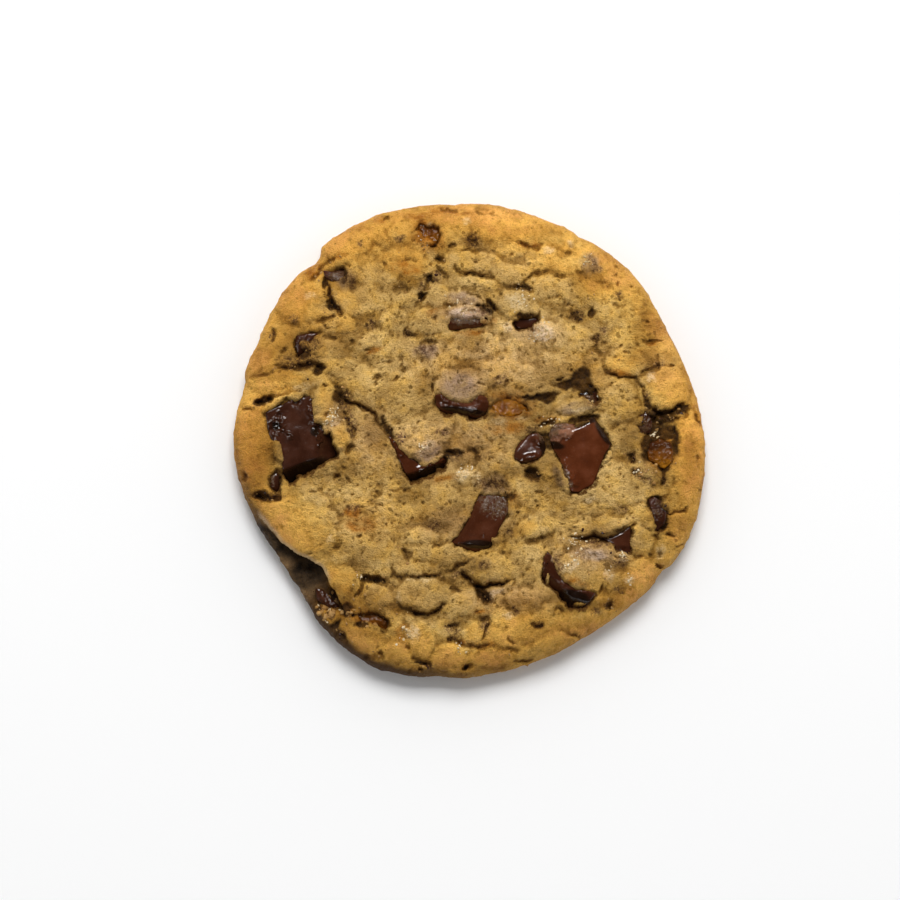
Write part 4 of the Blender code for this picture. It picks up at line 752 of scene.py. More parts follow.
def drop_to_ledge(x, y, height):
    """Lets the top fall from the lobe to the ledge beyond it.

    Gives the height, how far each point is tucked in under the lobe, and the masks of the shade painted on
    the ledge, of its nearly black part and of the highlight painted along the lobe's shoulder.
    """
    gap, _, side = line_gap(x, y, LOBE_EDGE)
    beyond = gap * side + 0.15 * rough(x, y, 2.2, 2, 89)
    ledge = LEDGE_HEIGHT + LEDGE_CLIMB * np.hypot(x - LEDGE_LOWEST[0], y - LEDGE_LOWEST[1])
    ledge = np.minimum(height, ledge + 0.6 * rough(x, y, 2.6, 3, 97))
    fall = smooth_between(-0.25, 0.6, beyond)
    drop = np.clip((height - ledge) / 3, 0, 1)
    height = height - 0.9 * drop * np.clip(1 + beyond / 1.6, 0, 1) ** 2 * (beyond < 0.6)
    height += (ledge - height) * fall
    tucked = OVERHANG * drop * fall * (1 - smooth_between(0.6, 4.5, beyond))

    # Painted shade on the ledge below the lobe, nearly black by the lobe and at the darkest spot.
    from_middle = np.hypot(x - LOBE_MIDDLE[0], y - LOBE_MIDDLE[1])
    shadow = fall * (1 - smooth_between(7, 10.5, from_middle))
    black = np.maximum(1 - smooth_between(1.2, 3.2, beyond), within(x, y, [DARKEST_SHADE_SPOT], (0.6, 1.2)))
    # A painted highlight along the lobe's shoulder.
    shoulder = np.exp(-(((beyond + 0.3) / 0.45) ** 2)) * (1 - smooth_between(0.02, 0.14, fall))
    shoulder *= 1 - smooth_between(8, 11, from_middle)
    return height, tucked, {"under": shadow, "ledge": shadow * black, "painted_shoulder_highlight": shoulder}


def top_surface():
    """Points of the top and, for each, the masks that its material reads."""
    x, y, share, angle = plan_grid()
    dome = (1 - share**DOME_POWER) ** DOME_ROUNDING
    edge = smooth_between(0.0, 0.25, dome)
    height = LIP + (PLATEAU - 0.35 - LIP + plate_relief(x, y)) * dome
    height, tucked, masks = drop_to_ledge(x, y, height)
    masks.update(stain_and_light_masks(x, y))

    crumb = crumb_relief(x, y) - small_pits(x, y) * (1 - 0.8 * smooth_between(0.6, 0.95, share))
    cracks = crack_relief(x, y)
    hollow = masks["hollow"] * (1 - masks["under"]) * (0.75 + 0.35 * rough(x, y, 0.9, 2, 111))
    height += (crumb - 0.9 * hollow) * edge
    height -= cracks * (0.35 + 0.65 * edge)
    height, masks["painted_gap_shade"] = seat_pieces(x, y, height)
    height = np.maximum(height, 1.2)

    relief = height - LIP - (PLATEAU - LIP) * dome
    # Masks of painted shade in the hollows of the relief, with a little painted light on its rises.
    masks["cavity"] = np.clip((blurred(relief, 4) - relief) / 0.35, -1, 1) * edge
    masks["basin"] = np.clip((blurred(relief, 10) - relief) / 0.7, -1, 1) * edge
    # Mask of the shade painted in the cracks.
    masks["dark"] = smooth_between(0.3, 1.9, cracks)
    masks["rim"] = smooth_between(0.72, 0.98, share + 0.05 * rough(x, y, 6, 2, 107))
    # The brown underside at the edge, darkened with painted shade on the side turned from the light.
    masks["shaded_sole"] = smooth_between(0.955, 0.985, share + 0.01 * rough(x, y, 3, 2, 109))
    masks["shaded_sole"] *= turned_to(angle, SHADED_SOLE_HEADING, 36)
    return x + UNDER_LOBE[0] * tucked, y + UNDER_LOBE[1] * tucked, height, angle, masks


def ring_order(size):
    """Indices of the grid's border points, counter-clockwise from the corner of least u and v."""
    last = size - 1
    path = [(i, 0) for i in range(last)] + [(last, j) for j in range(last)]
    path += [(i, last) for i in range(last, 0, -1)] + [(0, j) for j in range(last, 0, -1)]
    return np.array([i * size + j for i, j in path])


def side_rings(rim_x, rim_y, angle):
    """The rings of points down the side and in under the cookie, gently crinkled."""
    around = angle * 40
    rings = []
    for share, height in SIDE:
        here = np.full_like(around, height)
        level = smooth_between(0, 1.5, height)
        crinkle = 0.22 * swell(around, here, 2.0, 113) + 0.12 * swell(around, here, 0.8, 127)
        out = share + level * crinkle / MEAN_RADIUS
        lift = height + 0.05 * level * swell(around, here, 1.2, 131)
        rings.append(np.stack([rim_x * out, rim_y * out, lift], axis=1))
    return rings


def make_dough():
    """The baked dough: a dense grid on top, rings of points down the side, and one point underneath."""
    x, y, z, angle, masks = top_surface()
    size = TOP_CELLS + 1
    index = np.arange(size * size).reshape(size, size)
    quads = np.stack([index[:-1, :-1], index[1:, :-1], index[1:, 1:], index[:-1, 1:]], axis=-1)
    faces = [quads.reshape(-1, 4)]
    border = ring_order(size)
    rings = side_rings(x.ravel()[border], y.ravel()[border], angle.ravel()[border])
    ring, count = border, size * size
    for _ in rings:
        below = np.arange(count, count + len(border))
        faces.append(np.stack([ring, below, np.roll(below, -1), np.roll(ring, -1)], axis=1))
        ring, count = below, count + len(border)
    top = np.stack([x.ravel(), y.ravel(), z.ravel()], axis=1)
    points = np.concatenate([top, *rings, np.zeros((1, 3))])
    faces = [tuple(face) for group in faces for face in group.tolist()]
    faces += [(int(a), count, int(b)) for a, b in zip(ring, np.roll(ring, -1))]
    mesh = bpy.data.meshes.new("dough_baked")
    mesh.from_pydata((points * MM).tolist(), [], faces)
    for name, mask in masks.items():
        values = np.zeros(len(points))
        values[: size * size] = mask.ravel()
        if name in SIDE_MASKS:
            values[size * size : -1] = np.tile(mask.ravel()[border], len(SIDE))
        set_mask(mesh, name, values)
    mesh.shade_smooth()
    return placed("dough_baked", mesh)


# ---- the chocolate and caramel ----


def solid_noise(points, size, seed):
    """Smooth noise in space, -1 to 1, from three plan noises laid across each other."""
    x, y, z = points.T
    total = swell(x, y, size, seed) + swell(y + 31, z - 17, size, seed + 1)
    return (total + swell(z + 53, x + 11, size, seed + 2)) / 1.8


def melted(node, voxel, rounds):
    """A copy of a CAD piece with an even mesh and softened edges."""
    piece = placed(node + "_melted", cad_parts[node].data.copy())
    piece.data.materials.clear()
    even = piece.modifiers.new("even", "REMESH")
    even.mode = "VOXEL"
    even.voxel_size = voxel * MM
    soft = piece.modifiers.new("soft", "SMOOTH")
    soft.factor = 0.5
    soft.iterations = rounds
    bpy.context.view_layer.update()
    shaped = bpy.data.meshes.new_from_object(piece.evaluated_get(bpy.context.evaluated_depsgraph_get()))
    piece.modifiers.clear()
    piece.data = shaped
    return piece


def push_along_normals(mesh, amount):
    """Moves each point along its normal by amount(points, normals), in millimetres."""
    count = len(mesh.vertices)
    points, normals = np.empty(count * 3), np.empty(count * 3)
    mesh.vertices.foreach_get("co", points)
    mesh.vertex_normals.foreach_get("vector", normals)
    points, normals = points.reshape(-1, 3) / MM, normals.reshape(-1, 3)
    points += normals * amount(points, normals)[:, None]
    mesh.vertices.foreach_set("co", (points * MM).ravel())
    mesh.update()
    mesh.shade_smooth()
    return points


# How far each chunk's chocolate goes from nearly black to reddish brown, where it isn't 0.2.
# This is partly the chocolate's own colour and partly painted light: the better lit chunks are made redder.
REDNESS = {"chunk_east": 1.0, "chunk_fold": 0.65, "chunk_south": 0.5, "chunk_centre": 0.45,
           "chunk_east_small": 0.35, "chunk_southeast": 0.3, "chunk_crack": 0.35, "chunk_west": 0.12,
           "chunk_north": 0.6, "chunk_north_deep": 0.35, "chunk_northwest": 0.4, "chunk_rim_east": 0.3}

# Bubbles burst on the chocolate: x, y, radius.
BURSTS = [
    (-37, 2.2, 1.3), (-34.5, 0.6, 0.5), (-29, 2, 0.9), (-33.2, 7, 0.8), (-36.6, 4.6, 0.5),
    (2.2, -18.4, 0.25),
]

# Patches of dough smeared over chocolate, always with a heading, and how thick it lies, from 0 to 1.
FILMS = [
    (5, -11.4, 5, 5, 20, 0.48), (4.2, -9.2, 4, 1.5, 0, 0.55), (-2.3, 9.6, 4.2, 2.9, 0, 1),
    (-8.4, -1.2, 4, 3, 20, 1), (17.6, -7.4, 1.2, 3.4, 20, 0.7), (-0.8, 25, 6, 3.7, 0, 1),
    (33, 3, 2.2, 3, 0, 0.4), (-24.6, 31, 3.4, 2, 0, 0.5), (22.5, 7.4, 1.8, 1.4, -40, 0.7),
    # the patch at (15.4, 1.8), on the eastern chunk's face turned to the light, paints a sheen
    (15.6, -22.2, 0.9, 1.6, 0, 0.9), (35.5, -13, 1.8, 2.6, 0, 0.36), (15.4, 1.8, 3.8, 1.6, 36, 0.66),
    (-38, -7.6, 0.8, 1.6, 0, 0.5), (-31.4, 18.4, 1.2, 1, 0, 0.5), (28.6, -21.4, 1.6, 0.7, 0, 0.6),
]

# Faces turned from the light, painted with shade: the chocolate made nearly black.
BLACK_FACES = [
    (-31.6, -6, 5.6, 1.7, 24), (22, 3.6, 3.2, 0.9, 12), (25.2, 1.2, 1.2, 3.2, 32),
    (15.6, -1.2, 2.2, 0.8, -12), (-8.2, -6.2, 3.6, 1, 22), (-1.4, 5.3, 4.6, 0.7, -8),
    (1.4, -20, 3.6, 0.9, -2), (19.4, -30.1, 3.6, 1.6, -10), (-10.8, -7.4, 1.6, 0.8, -10),
    (-29.7, 1.4, 0.9, 1.1), (13.6, -1.4, 0.8, 2, 10), (21.6, 11, 2.4, 3.2, 20), (-37, 2.4, 0.8, 0.9),
]

# Ridges where the chocolate folded as it melted: height, half width, and the points they run through.
RIDGES = [
    (0.4, 0.9, [(-2.6, 6.4), (-1.4, 5.6), (0, 5.4), (1.3, 6), (1.9, 7)]),
    (0.25, 0.6, [(-5.6, 7.8), (-4.4, 7)]), (0.3, 0.7, [(-9.6, -6), (-7.6, -4.9), (-6, -3.8)]),
    (0.25, 0.5, [(-14.8, -0.6), (-14, -1.8), (-13.2, -3)]),
    (0.35, 0.7, [(10.6, -3.9), (11.8, -3.5), (12.9, -3.8)]), (0.25, 0.5, [(12.2, 0), (12.7, -1)]),
    (0.35, 0.7, [(14.6, 1.8), (16, 3), (17.6, 2.9)]), (0.25, 0.6, [(15.4, 0.4), (16.8, 1), (18, 0.9)]),
    (0.3, 0.5, [(13.8, -22.4), (13.6, -24), (14, -26)]),
    (0.3, 0.7, [(17.6, -4.4), (18.2, -6.4), (19.6, -8.6)]),
    (0.25, 0.6, [(27.4, -21.9), (28.8, -21.4), (30, -21.7)]),
    (0.3, 0.8, [(18, -27.6), (20.4, -28.4), (22.6, -28.6)]),
    (0.3, 0.7, [(-30.3, 7.4), (-30.4, 5), (-29.6, 3.4)]),
    (0.25, 0.5, [(-37.6, 0.6), (-36.4, -1.4), (-36.2, -3)]),
]

# Patches of painted sheen, a pinkish highlight on chocolate turned to the light.
ROSY_SHEEN_PATCHES = [(16.8, 1.4, 3.2, 1.7, 22), (22.6, 7.2, 1.6, 0.9, -30)]

# Patches of torn and blistered chocolate, which glints.
TORN = [
    (-37, 2.3, 1.9, 1.7), (-34.6, 0.6, 0.8, 0.5), (-30, 5.4, 0.7, 2.6, -8), (-28.8, -0.2, 0.6, 1.3, -20),
    (-37.4, -1, 0.7, 2.4, -20), (-33.4, 8, 2.6, 0.8), (-14.2, -1.2, 0.7, 1.8, -20),
    (-7.2, -4.6, 2, 0.5, 40), (1.4, 7.4, 1.2, 0.9), (-0.4, 5.7, 1.8, 0.5), (-4.9, 7.3, 1.2, 0.4, -25),
    (12.4, -0.6, 0.4, 0.8, 10), (11.9, -3.5, 1.1, 0.4, 12), (17.2, 2.6, 3.2, 0.8, 8),
    (18.3, -6.4, 0.7, 2.6, 20), (16.6, -0.1, 2.4, 0.4, 10), (14, -24.3, 0.4, 2.6, 5),
    (22.6, 7.2, 1.8, 1.2, -30), (28.6, -21.6, 1.6, 0.8), (35.4, -13, 1.8, 2.6, 10), (33, 3, 2, 2.6),
    (-27, -30, 2.4, 1.8, -30), (-32, 18.6, 1.6, 1.8, 30), (-25.4, 31, 2.4, 1.4),
]


def chunk_surface(points, normals):
    """How far a chunk's surface lies off the CAD one: its swells, burst bubbles and ridges."""
    x, y, up = points[:, 0], points[:, 1], normals[:, 2]
    wobble = rough(x, y, 0.9, 2, 152)
    amount = 0.16 * solid_noise(points, 3.4, 139) + 0.03 * solid_noise(points, 1.1, 149)
    for cx, cy, radius in BURSTS:
        reach = np.hypot(x - cx, y - cy) / radius + 0.45 * wobble
        amount -= 0.6 * radius * (1 - smooth_between(0.3, 1.1, reach)) * (up > 0.3)
        amount += 0.3 * np.exp(-(((reach - 1.2) / 0.3) ** 2)) * smooth_between(-0.2, 0.5, wobble)
    for height, half, line in RIDGES:
        if math.dist(line[0], (x.mean(), y.mean())) < NEARBY:
            gap, _, _ = line_gap(x + 0.2 * wobble, y, line)
            amount += height * np.exp(-((gap / half) ** 2)) * (up > 0) * (1 + 0.6 * wobble)
    return amount


def make_chunk(node):
    """A chunk of chocolate, with the masks of what lies on it, where it glints and its painted shade and
    sheen.
    """
    piece = melted(node, 0.24, 3)
    x, y, _ = push_along_normals(piece.data, chunk_surface).T
    wx, wy = warped(x, y, 0.6, 1.6, 3, (151, 157))
    torn = within(wx, wy, TORN, (0.5, 1.2))
    for _, half, line in RIDGES:
        gap, _, _ = line_gap(x, y, line)
        torn = np.maximum(torn, np.exp(-((gap / half) ** 2)))
    film = np.zeros_like(x)
    for *patch, thickness in FILMS:
        film = np.maximum(film, thickness * within(wx, wy, [patch], (0.4, 1.25)))
    set_mask(piece.data, "film", film)
    set_mask(piece.data, "torn", torn)
    set_mask(piece.data, "black", within(x, y, BLACK_FACES, (0.7, 1.15)))
    set_mask(piece.data, "painted_rosy_sheen", within(wx, wy, ROSY_SHEEN_PATCHES, (0.8, 1.1)))
    set_mask(piece.data, "redness", np.full(len(x), REDNESS.get(node, 0.2)))
    return piece


# How light each caramel piece is, from burnt to clear amber, and how much lighter each mm further south.
CLEARNESS = {"caramel_north": (0.45, 0.0), "caramel_centre": (0.6, 0.0), "caramel_east": (0.3, 0.22),
             "caramel_southwest": (0.3, 0.0)}


def caramel_surface(points, _):
    """How far a caramel piece's surface lies off the CAD one: soft swells."""
    return 0.15 * solid_noise(points, 1.7, 163) + 0.1 * solid_noise(points, 0.8, 167)


def make_caramel(node):
    piece = melted(node, 0.22, 8)
    _, y, _ = push_along_normals(piece.data, caramel_surface).T
    clear, rise = CLEARNESS[node]
    set_mask(piece.data, "clear", np.clip(clear + rise * (y.mean() - y), 0, 1))
    return piece


# ---- crumbs and chocolate bits ----


def add_bit(bm, spot, px, py, size, squash, dice):
    """One broken lump, resting in the surface at the spot."""
    verts = bmesh.ops.create_icosphere(bm, subdivisions=2, radius=size * MM)["verts"]
    turn = Matrix.Rotation(dice.uniform(0, math.tau), 3, "Z")
    turn @= Matrix.Rotation(dice.uniform(-0.4, 0.4), 3, "X")
    stretch = Vector((dice.uniform(0.7, 1.3), dice.uniform(0.6, 1.1), dice.uniform(0.6, 1.0) * squash))
    for vert in verts:
        x, y, _ = vert.co / (size * MM)
        jag = 1 + 0.28 * math.sin(5.1 * x + px * 3) * math.cos(4.3 * y + py * 5)
        vert.co = turn @ (vert.co * stretch * jag) + spot - Vector((0, 0, 0.15 * size * MM))


def make_bits(name, places, squash, surface):
    """Many small broken lumps on the dough, joined into one mesh. A place is x, y, size."""
    bm = bmesh.new()
    dice = random.Random(name)
    for px, py, size in places:
        spot = straight_down(surface, px, py)
        if spot is not None:
            add_bit(bm, spot, px, py, size, squash, dice)
    mesh = bpy.data.meshes.new(name)
    bm.to_mesh(mesh)
    bm.free()
    mesh.shade_smooth()
    return placed(name, mesh)


# Where chocolate lies in small pieces: x, y, spread, how many.
BIT_CLUSTERS = [
    (-32, 14.2, 2.4, 6), (-26.4, 25, 0.9, 2), (33.2, 3, 1.5, 5), (35.4, -13.6, 1.8, 5), (20, 23.2, 0.9, 2),
    (-6.4, 31, 1, 2), (30.5, -3.8, 0.8, 2), (28.4, -20.6, 1.2, 2), (39.8, 5.4, 1, 2), (-12.6, 0, 0.9, 2),
    (2.7, -30, 0.9, 2), (-22.8, 3, 1.2, 3), (37, 4, 1.4, 3), (-38, -11.2, 2, 3), (-24.4, -37, 0.9, 2),
    (2.9, 24.4, 1.2, 2), (-31, 18, 1.4, 2), (24.4, -19.4, 2.6, 3), (-29.6, -30, 1.4, 2),
    (-8.6, -42.8, 1, 2),
]

# Where the dough is wet and pale, and broken into shiny crumbs: x, y, spread, how many.
# The crumbs' pale colour is partly a painted highlight.
WET_CLUSTERS = [
    (13, 21, 2.6, 30), (9, 27, 2, 16), (-26.2, 4.4, 1.5, 26), (-27.4, 2.6, 1, 10), (20.4, -19.4, 1.8, 24),
    (28.7, -22.4, 0.9, 14), (30, -26.4, 0.9, 7), (19.6, -23.4, 1.6, 16), (26, -24.8, 1.2, 8),
    (-1.4, -6, 2, 18), (-9.4, -1.8, 1.6, 10), (-12, -36.4, 2, 14), (15.4, 3.4, 1.6, 14),
    (22.6, 7.6, 1.2, 10), (-8.4, 38.4, 2, 12), (35.4, 1.2, 1, 8), (22, 35, 1.6, 8), (-2, 25.4, 2.4, 14),
    (-21, -26.6, 1.6, 8), (-2, -39.6, 1.6, 10), (32, -6, 1.6, 12), (18, -6.4, 1, 6), (-27.4, -33, 1.6, 12),
]

# Where crumbs broke off the dough: x, y, spread along x, spread along y, smallest, largest, how many.
CRUMB_CLUSTERS = [(-27, -33, 1.8, 1.8, 0.25, 0.75, 34), (-19.5, -34.2, 2.6, 0.8, 0.15, 0.4, 20),
                  (33.4, -6.4, 1.6, 0.9, 0.15, 0.4, 18)]


def scattered(dice, cx, cy, spread_x, spread_y, smallest, largest, count):
    """Places for bits round a middle, thickest there."""
    return [(cx + dice.gauss(0, spread_x), cy + dice.gauss(0, spread_y), dice.uniform(smallest, largest))
            for _ in range(count)]


def clustered(clusters, seed, smallest, largest):
    """Places for bits round each of the clusters, all of them drawn from one seed."""
    dice = random.Random(seed)
    places = []
    for cx, cy, spread, count in clusters:
        places += scattered(dice, cx, cy, spread / 2, spread / 2, smallest, largest, count)
    return places


def crumb_places():
    """Crumbs in the clusters, along the wide cracks and here and there over the top."""
    dice = random.Random("crumbs")
    places = []
    for cluster in CRUMB_CLUSTERS:
        places += scattered(dice, *cluster)
    for points in [points for width, _, points in CRACKS if width >= 0.8]:
        for px, py in points:
            px, py = px + dice.uniform(-1.2, 1.2), py + dice.uniform(-1.2, 1.2)
            places.append((px, py, dice.uniform(0.12, 0.32)))
    for _ in range(50):
        angle, radius = dice.uniform(0, math.tau), 40 * math.sqrt(dice.random())
        places.append((radius * math.cos(angle), radius * math.sin(angle), dice.uniform(0.1, 0.24)))
    return places


# ---- materials ----


class Tree:
    """A node tree, with short names for the sums done in it."""

    def __init__(self, owner):
        owner.use_nodes = True
        self.nodes = owner.node_tree.nodes
        self.links = owner.node_tree.links

    def put(self, node, socket, value):
        if isinstance(value, bpy.types.NodeSocket):
            self.links.new(value, node.inputs[socket])
        else:
            node.inputs[socket].default_value = value

    def math(self, operation, first, second):
        node = self.nodes.new("ShaderNodeMath")
        node.operation = operation
        self.put(node, 0, first)
        self.put(node, 1, second)
        return node.outputs[0]

    def times(self, first, second):
        return self.math("MULTIPLY", first, second)

    def plus(self, first, second):
        return self.math("ADD", first, second)

    def minus(self, first, second):
        return self.math("SUBTRACT", first, second)

    def larger(self, first, second):
        return self.math("MAXIMUM", first, second)

    def span(self, value, low, high, start=0.0, end=1.0, kind="SMOOTHSTEP"):
        """Carries low..high to start..end, held at both ends."""
        node = self.nodes.new("ShaderNodeMapRange")
        node.interpolation_type = kind
        self.put(node, "Value", value)
        for socket, number in zip(("From Min", "From Max", "To Min", "To Max"), (low, high, start, end)):
            self.put(node, socket, number)
        return node.outputs["Result"]


class Shading(Tree):
    """One material's node tree, with short names for the textures and mixes it uses most."""

    def __init__(self, name, **constants):
        self.material = bpy.data.materials.new(name)
        super().__init__(self.material)
        self.shader = self.nodes["Principled BSDF"]
        self.place = self.nodes.new("ShaderNodeTexCoord").outputs["Object"]
        for socket, value in constants.items():
            self.shader.inputs[socket.replace("_", " ")].default_value = value

    def mask(self, name):
        node = self.nodes.new("ShaderNodeAttribute")
        node.attribute_name = name
        return node.outputs["Fac"]

    def noise(self, size, detail=2.0, roughness=0.5):
        """Noise from 0 to 1 with features about size millimetres wide."""
        node = self.nodes.new("ShaderNodeTexNoise")
        self.put(node, "Vector", self.place)
        self.put(node, "Scale", 1 / (size * MM))
        self.put(node, "Detail", detail)
        self.put(node, "Roughness", roughness)
        return node.outputs["Fac"]

    def scattered_cells(self, size, warp_size, warp):
        """A Voronoi texture with cells about size millimetres wide, moved about by up to warp."""
        noise = self.nodes.new("ShaderNodeTexNoise")
        self.put(noise, "Vector", self.place)
        self.put(noise, "Scale", 1 / (warp_size * MM))
        shift = self.nodes.new("ShaderNodeVectorMath")
        shift.operation = "MULTIPLY_ADD"
        self.put(shift, 0, noise.outputs["Color"])
        self.put(shift, 1, [warp * MM] * 3)
        self.put(shift, 2, self.place)
        node = self.nodes.new("ShaderNodeTexVoronoi")
        self.put(node, "Vector", shift.outputs[0])
        self.put(node, "Scale", 1 / (size * MM))
        return node

    def grains(self, size):
        """1 on the tops of rounded grains about size millimetres wide, falling to 0 between them."""
        node = self.scattered_cells(size, size / 1.3, 0.7 * size)
        node.feature = "SMOOTH_F1"
        self.put(node, "Smoothness", 0.2)
        return self.span(node.outputs["Distance"], 0.12, 0.72, 1.0, 0.0)

    def pinholes(self, size, radius, depth):
        """1 over most of the surface, down to depth in small holes; radius is in units of size."""
        distance = self.scattered_cells(size, size / 1.6, 0.5 * size).outputs["Distance"]
        spared = self.span(self.noise(5 * size, 2), 0.42, 0.6, 0.0, radius)
        return self.span(self.minus(distance, spared), 0.0, 0.1, depth, 1.0)

    def blend(self, share, first, second, kind="MIX"):
        node = self.nodes.new("ShaderNodeMix")
        node.data_type = "RGBA"
        node.blend_type = kind
        self.put(node, "Factor", share)
        for socket, color in ((6, first), (7, second)):  # the two colour inputs
            self.put(node, socket, color if isinstance(color, bpy.types.NodeSocket) else (*color, 1))
        return node.outputs[2]

    def tint(self, share, color, factors):
        """The colour multiplied by the factors where the share is 1."""
        return self.blend(share, color, self.blend(1.0, color, factors, "MULTIPLY"))

    def toned(self, color, tone, green_power, blue_power):
        """The colour made lighter or darker, its green and blue by powers of the tone."""
        join = self.nodes.new("ShaderNodeCombineXYZ")
        self.put(join, "X", tone)
        self.put(join, "Y", self.math("POWER", tone, green_power))
        self.put(join, "Z", self.math("POWER", tone, blue_power))
        return self.blend(1.0, color, join.outputs["Vector"], "MULTIPLY")

    def bump(self, height, distance, below=None):
        node = self.nodes.new("ShaderNodeBump")
        self.put(node, "Height", height)
        self.put(node, "Distance", distance * MM)
        self.put(node, "Strength", 1.0)
        if below is not None:
            self.put(node, "Normal", below)
        return node.outputs["Normal"]

    def finish(self, color, roughness, normal):
        self.put(self.shader, "Base Color", color)
        self.put(self.shader, "Roughness", roughness)
        self.put(self.shader, "Normal", normal)
        return self.material


BEIGE = (0.550, 0.338, 0.104)
TAN = (0.605, 0.348, 0.078)
GOLD = (0.640, 0.335, 0.060)
CRUST = (0.660, 0.315, 0.068)
COCOA = (0.195, 0.098, 0.040)
DARK_COCOA = (0.062, 0.024, 0.010)
FILM = (0.36, 0.23, 0.118)
AMBER = (0.38, 0.14, 0.012)
# a pale painted sheen on greasy patches
PALE_SHEEN = (0.76, 0.59, 0.34)
# painted shade in the cracks; the nearly black one also serves for dark melted chocolate
CREVICE_SHADE = (0.095, 0.036, 0.005)
BLACKISH = (0.028, 0.011, 0.002)
MELTED = (0.080, 0.033, 0.005)
UNDERSIDE = (0.30, 0.13, 0.028)
# the brown underside at the edge, darkened with painted shade
SHADED_SOLE = (0.085, 0.040, 0.012)
# painted shade on the ledge under the lobe, nearly black beside it
SHADED_LEDGE = (0.26, 0.155, 0.07)
BLACK_LEDGE_SHADE = (0.024, 0.014, 0.007)
# a painted highlight on the lobe's shoulder
SHOULDER_HIGHLIGHT = (0.60, 0.46, 0.30)

# Pairs of a darker and a lighter colour, which take turns in patches.
DARK_CHOCOLATE = ((0.026, 0.0085, 0.0045), (0.046, 0.0145, 0.007))
RED_CHOCOLATE = ((0.075, 0.0175, 0.005), (0.115, 0.029, 0.009))
DRY_CRUMBS = ((0.30, 0.15, 0.035), (0.44, 0.25, 0.08))
# the wet crumbs' pale colours are partly a painted highlight
WET_CRUMBS = ((0.56, 0.38, 0.16), (0.84, 0.71, 0.48))
DUST = (0.17, 0.085, 0.045)
# a pinkish painted sheen
ROSY_SHEEN = (0.25, 0.115, 0.065)
# painted shade on chocolate faces turned from the light
UNLIT = (0.008, 0.004, 0.002)
THIN_FILM = (0.105, 0.055, 0.026)
THICK_FILM = (0.34, 0.22, 0.11)
BURNT_SUGAR = (0.045, 0.012, 0.003)
BROWN_CARAMEL = (0.145, 0.042, 0.003)
CLEAR_CARAMEL = (0.50, 0.20, 0.014)
CRUMB_SPECKS = (0.28, 0.13, 0.03)


def baked_color(m, patch, grain):
    """From pale in the middle to browned at the rim, with what lies on the dough or soaked into it."""
    golden = m.plus(m.times(m.mask("rim"), 0.75), m.times(m.mask("golden"), 0.5))
    golden = m.plus(golden, m.times(m.minus(patch, 0.5), 1.3))
    golden = m.plus(golden, m.times(m.minus(m.noise(9, 3), 0.5), 0.9))
    color = m.blend(m.span(golden, -0.15, 0.35), BEIGE, TAN)
    color = m.blend(m.span(golden, 0.25, 0.85), color, GOLD)
    color = m.blend(m.span(golden, 0.8, 1.5), color, CRUST)
    specks = m.noise(0.9, 3, 0.6)
    # Laid over the dough: caramel, dough film, cocoa, and on greasy patches a pale painted sheen on the
    # grains' tops.
    for mask, share, laid in (("amber", m.span(patch, 0.3, 0.62, 0.25, 0.95), AMBER),
                              ("film", m.span(patch, 0.35, 0.6, 0.4, 0.95), FILM),
                              ("pale", m.span(grain, 0.35, 0.6, 0.12, 0.44), PALE_SHEEN),
                              ("cocoa", m.span(grain, 0.38, 0.62, 0.95, 0.15), COCOA),
                              ("cocoa", m.span(specks, 0.5, 0.66, 0.0, 0.75), DARK_COCOA)):
        color = m.blend(m.times(m.mask(mask), share), color, laid)
    color = m.tint(m.mask("tawny"), color, (1.04, 0.97, 0.86))
    return m.tint(m.mask("ashen"), color, (1.0, 0.98, 1.2))


def broad_tone(m, crumb):
    """Lighter and darker over some millimetres: partly the crumb's tone, partly painted light and shade."""
    # The crumb noise also raises the bump: darker in its hollows, partly the crumb's tone, partly painted
    # shade.
    tone = m.times(m.span(crumb, 0.32, 0.52, 0.76, 1.04), m.span(m.noise(6.5, 3), 0.48, 0.7, 1.04, 0.84))
    # Painted light and shade, and painted shade in the hollows of the relief with a little painted light on
    # its rises.
    for mask, *limits in (("light", 0, 1, 0.95, 1.18), ("dusk", 0, 1, 1, 0.64),
                          ("cavity", -0.2, 0.8, 1.02, 0.66), ("basin", -0.2, 0.7, 1.02, 0.7)):
        tone = m.times(tone, m.span(m.mask(mask), *limits))
    return tone


def close_tone(m, grain, fine):
    """Lighter and darker from grain to grain, with pinholes, and less of both where the crust is smooth."""
    smooth = m.times(m.larger(m.mask("rim"), m.mask("golden")), 0.36)
    coarse = m.minus(1.0, smooth)
    # Darker where the grain and fine noises, which also raise the bump, are low: partly mottling, partly
    # painted shade.
    tone = m.times(m.span(grain, 0.3, 0.45, 0.72, 1.0), m.span(grain, 0.5, 0.7, 1.0, 1.05))
    tone = m.times(tone, m.span(fine, 0.32, 0.68, 0.9, 1.1))
    tone = m.plus(m.times(tone, coarse), m.times(smooth, 0.98))
    # Pinholes painted as darker dots: painted shade in small holes.
    holes = m.times(m.pinholes(1.7, 0.17, 0.46), m.pinholes(0.85, 0.18, 0.74))
    return m.times(tone, m.plus(m.times(holes, coarse), smooth))


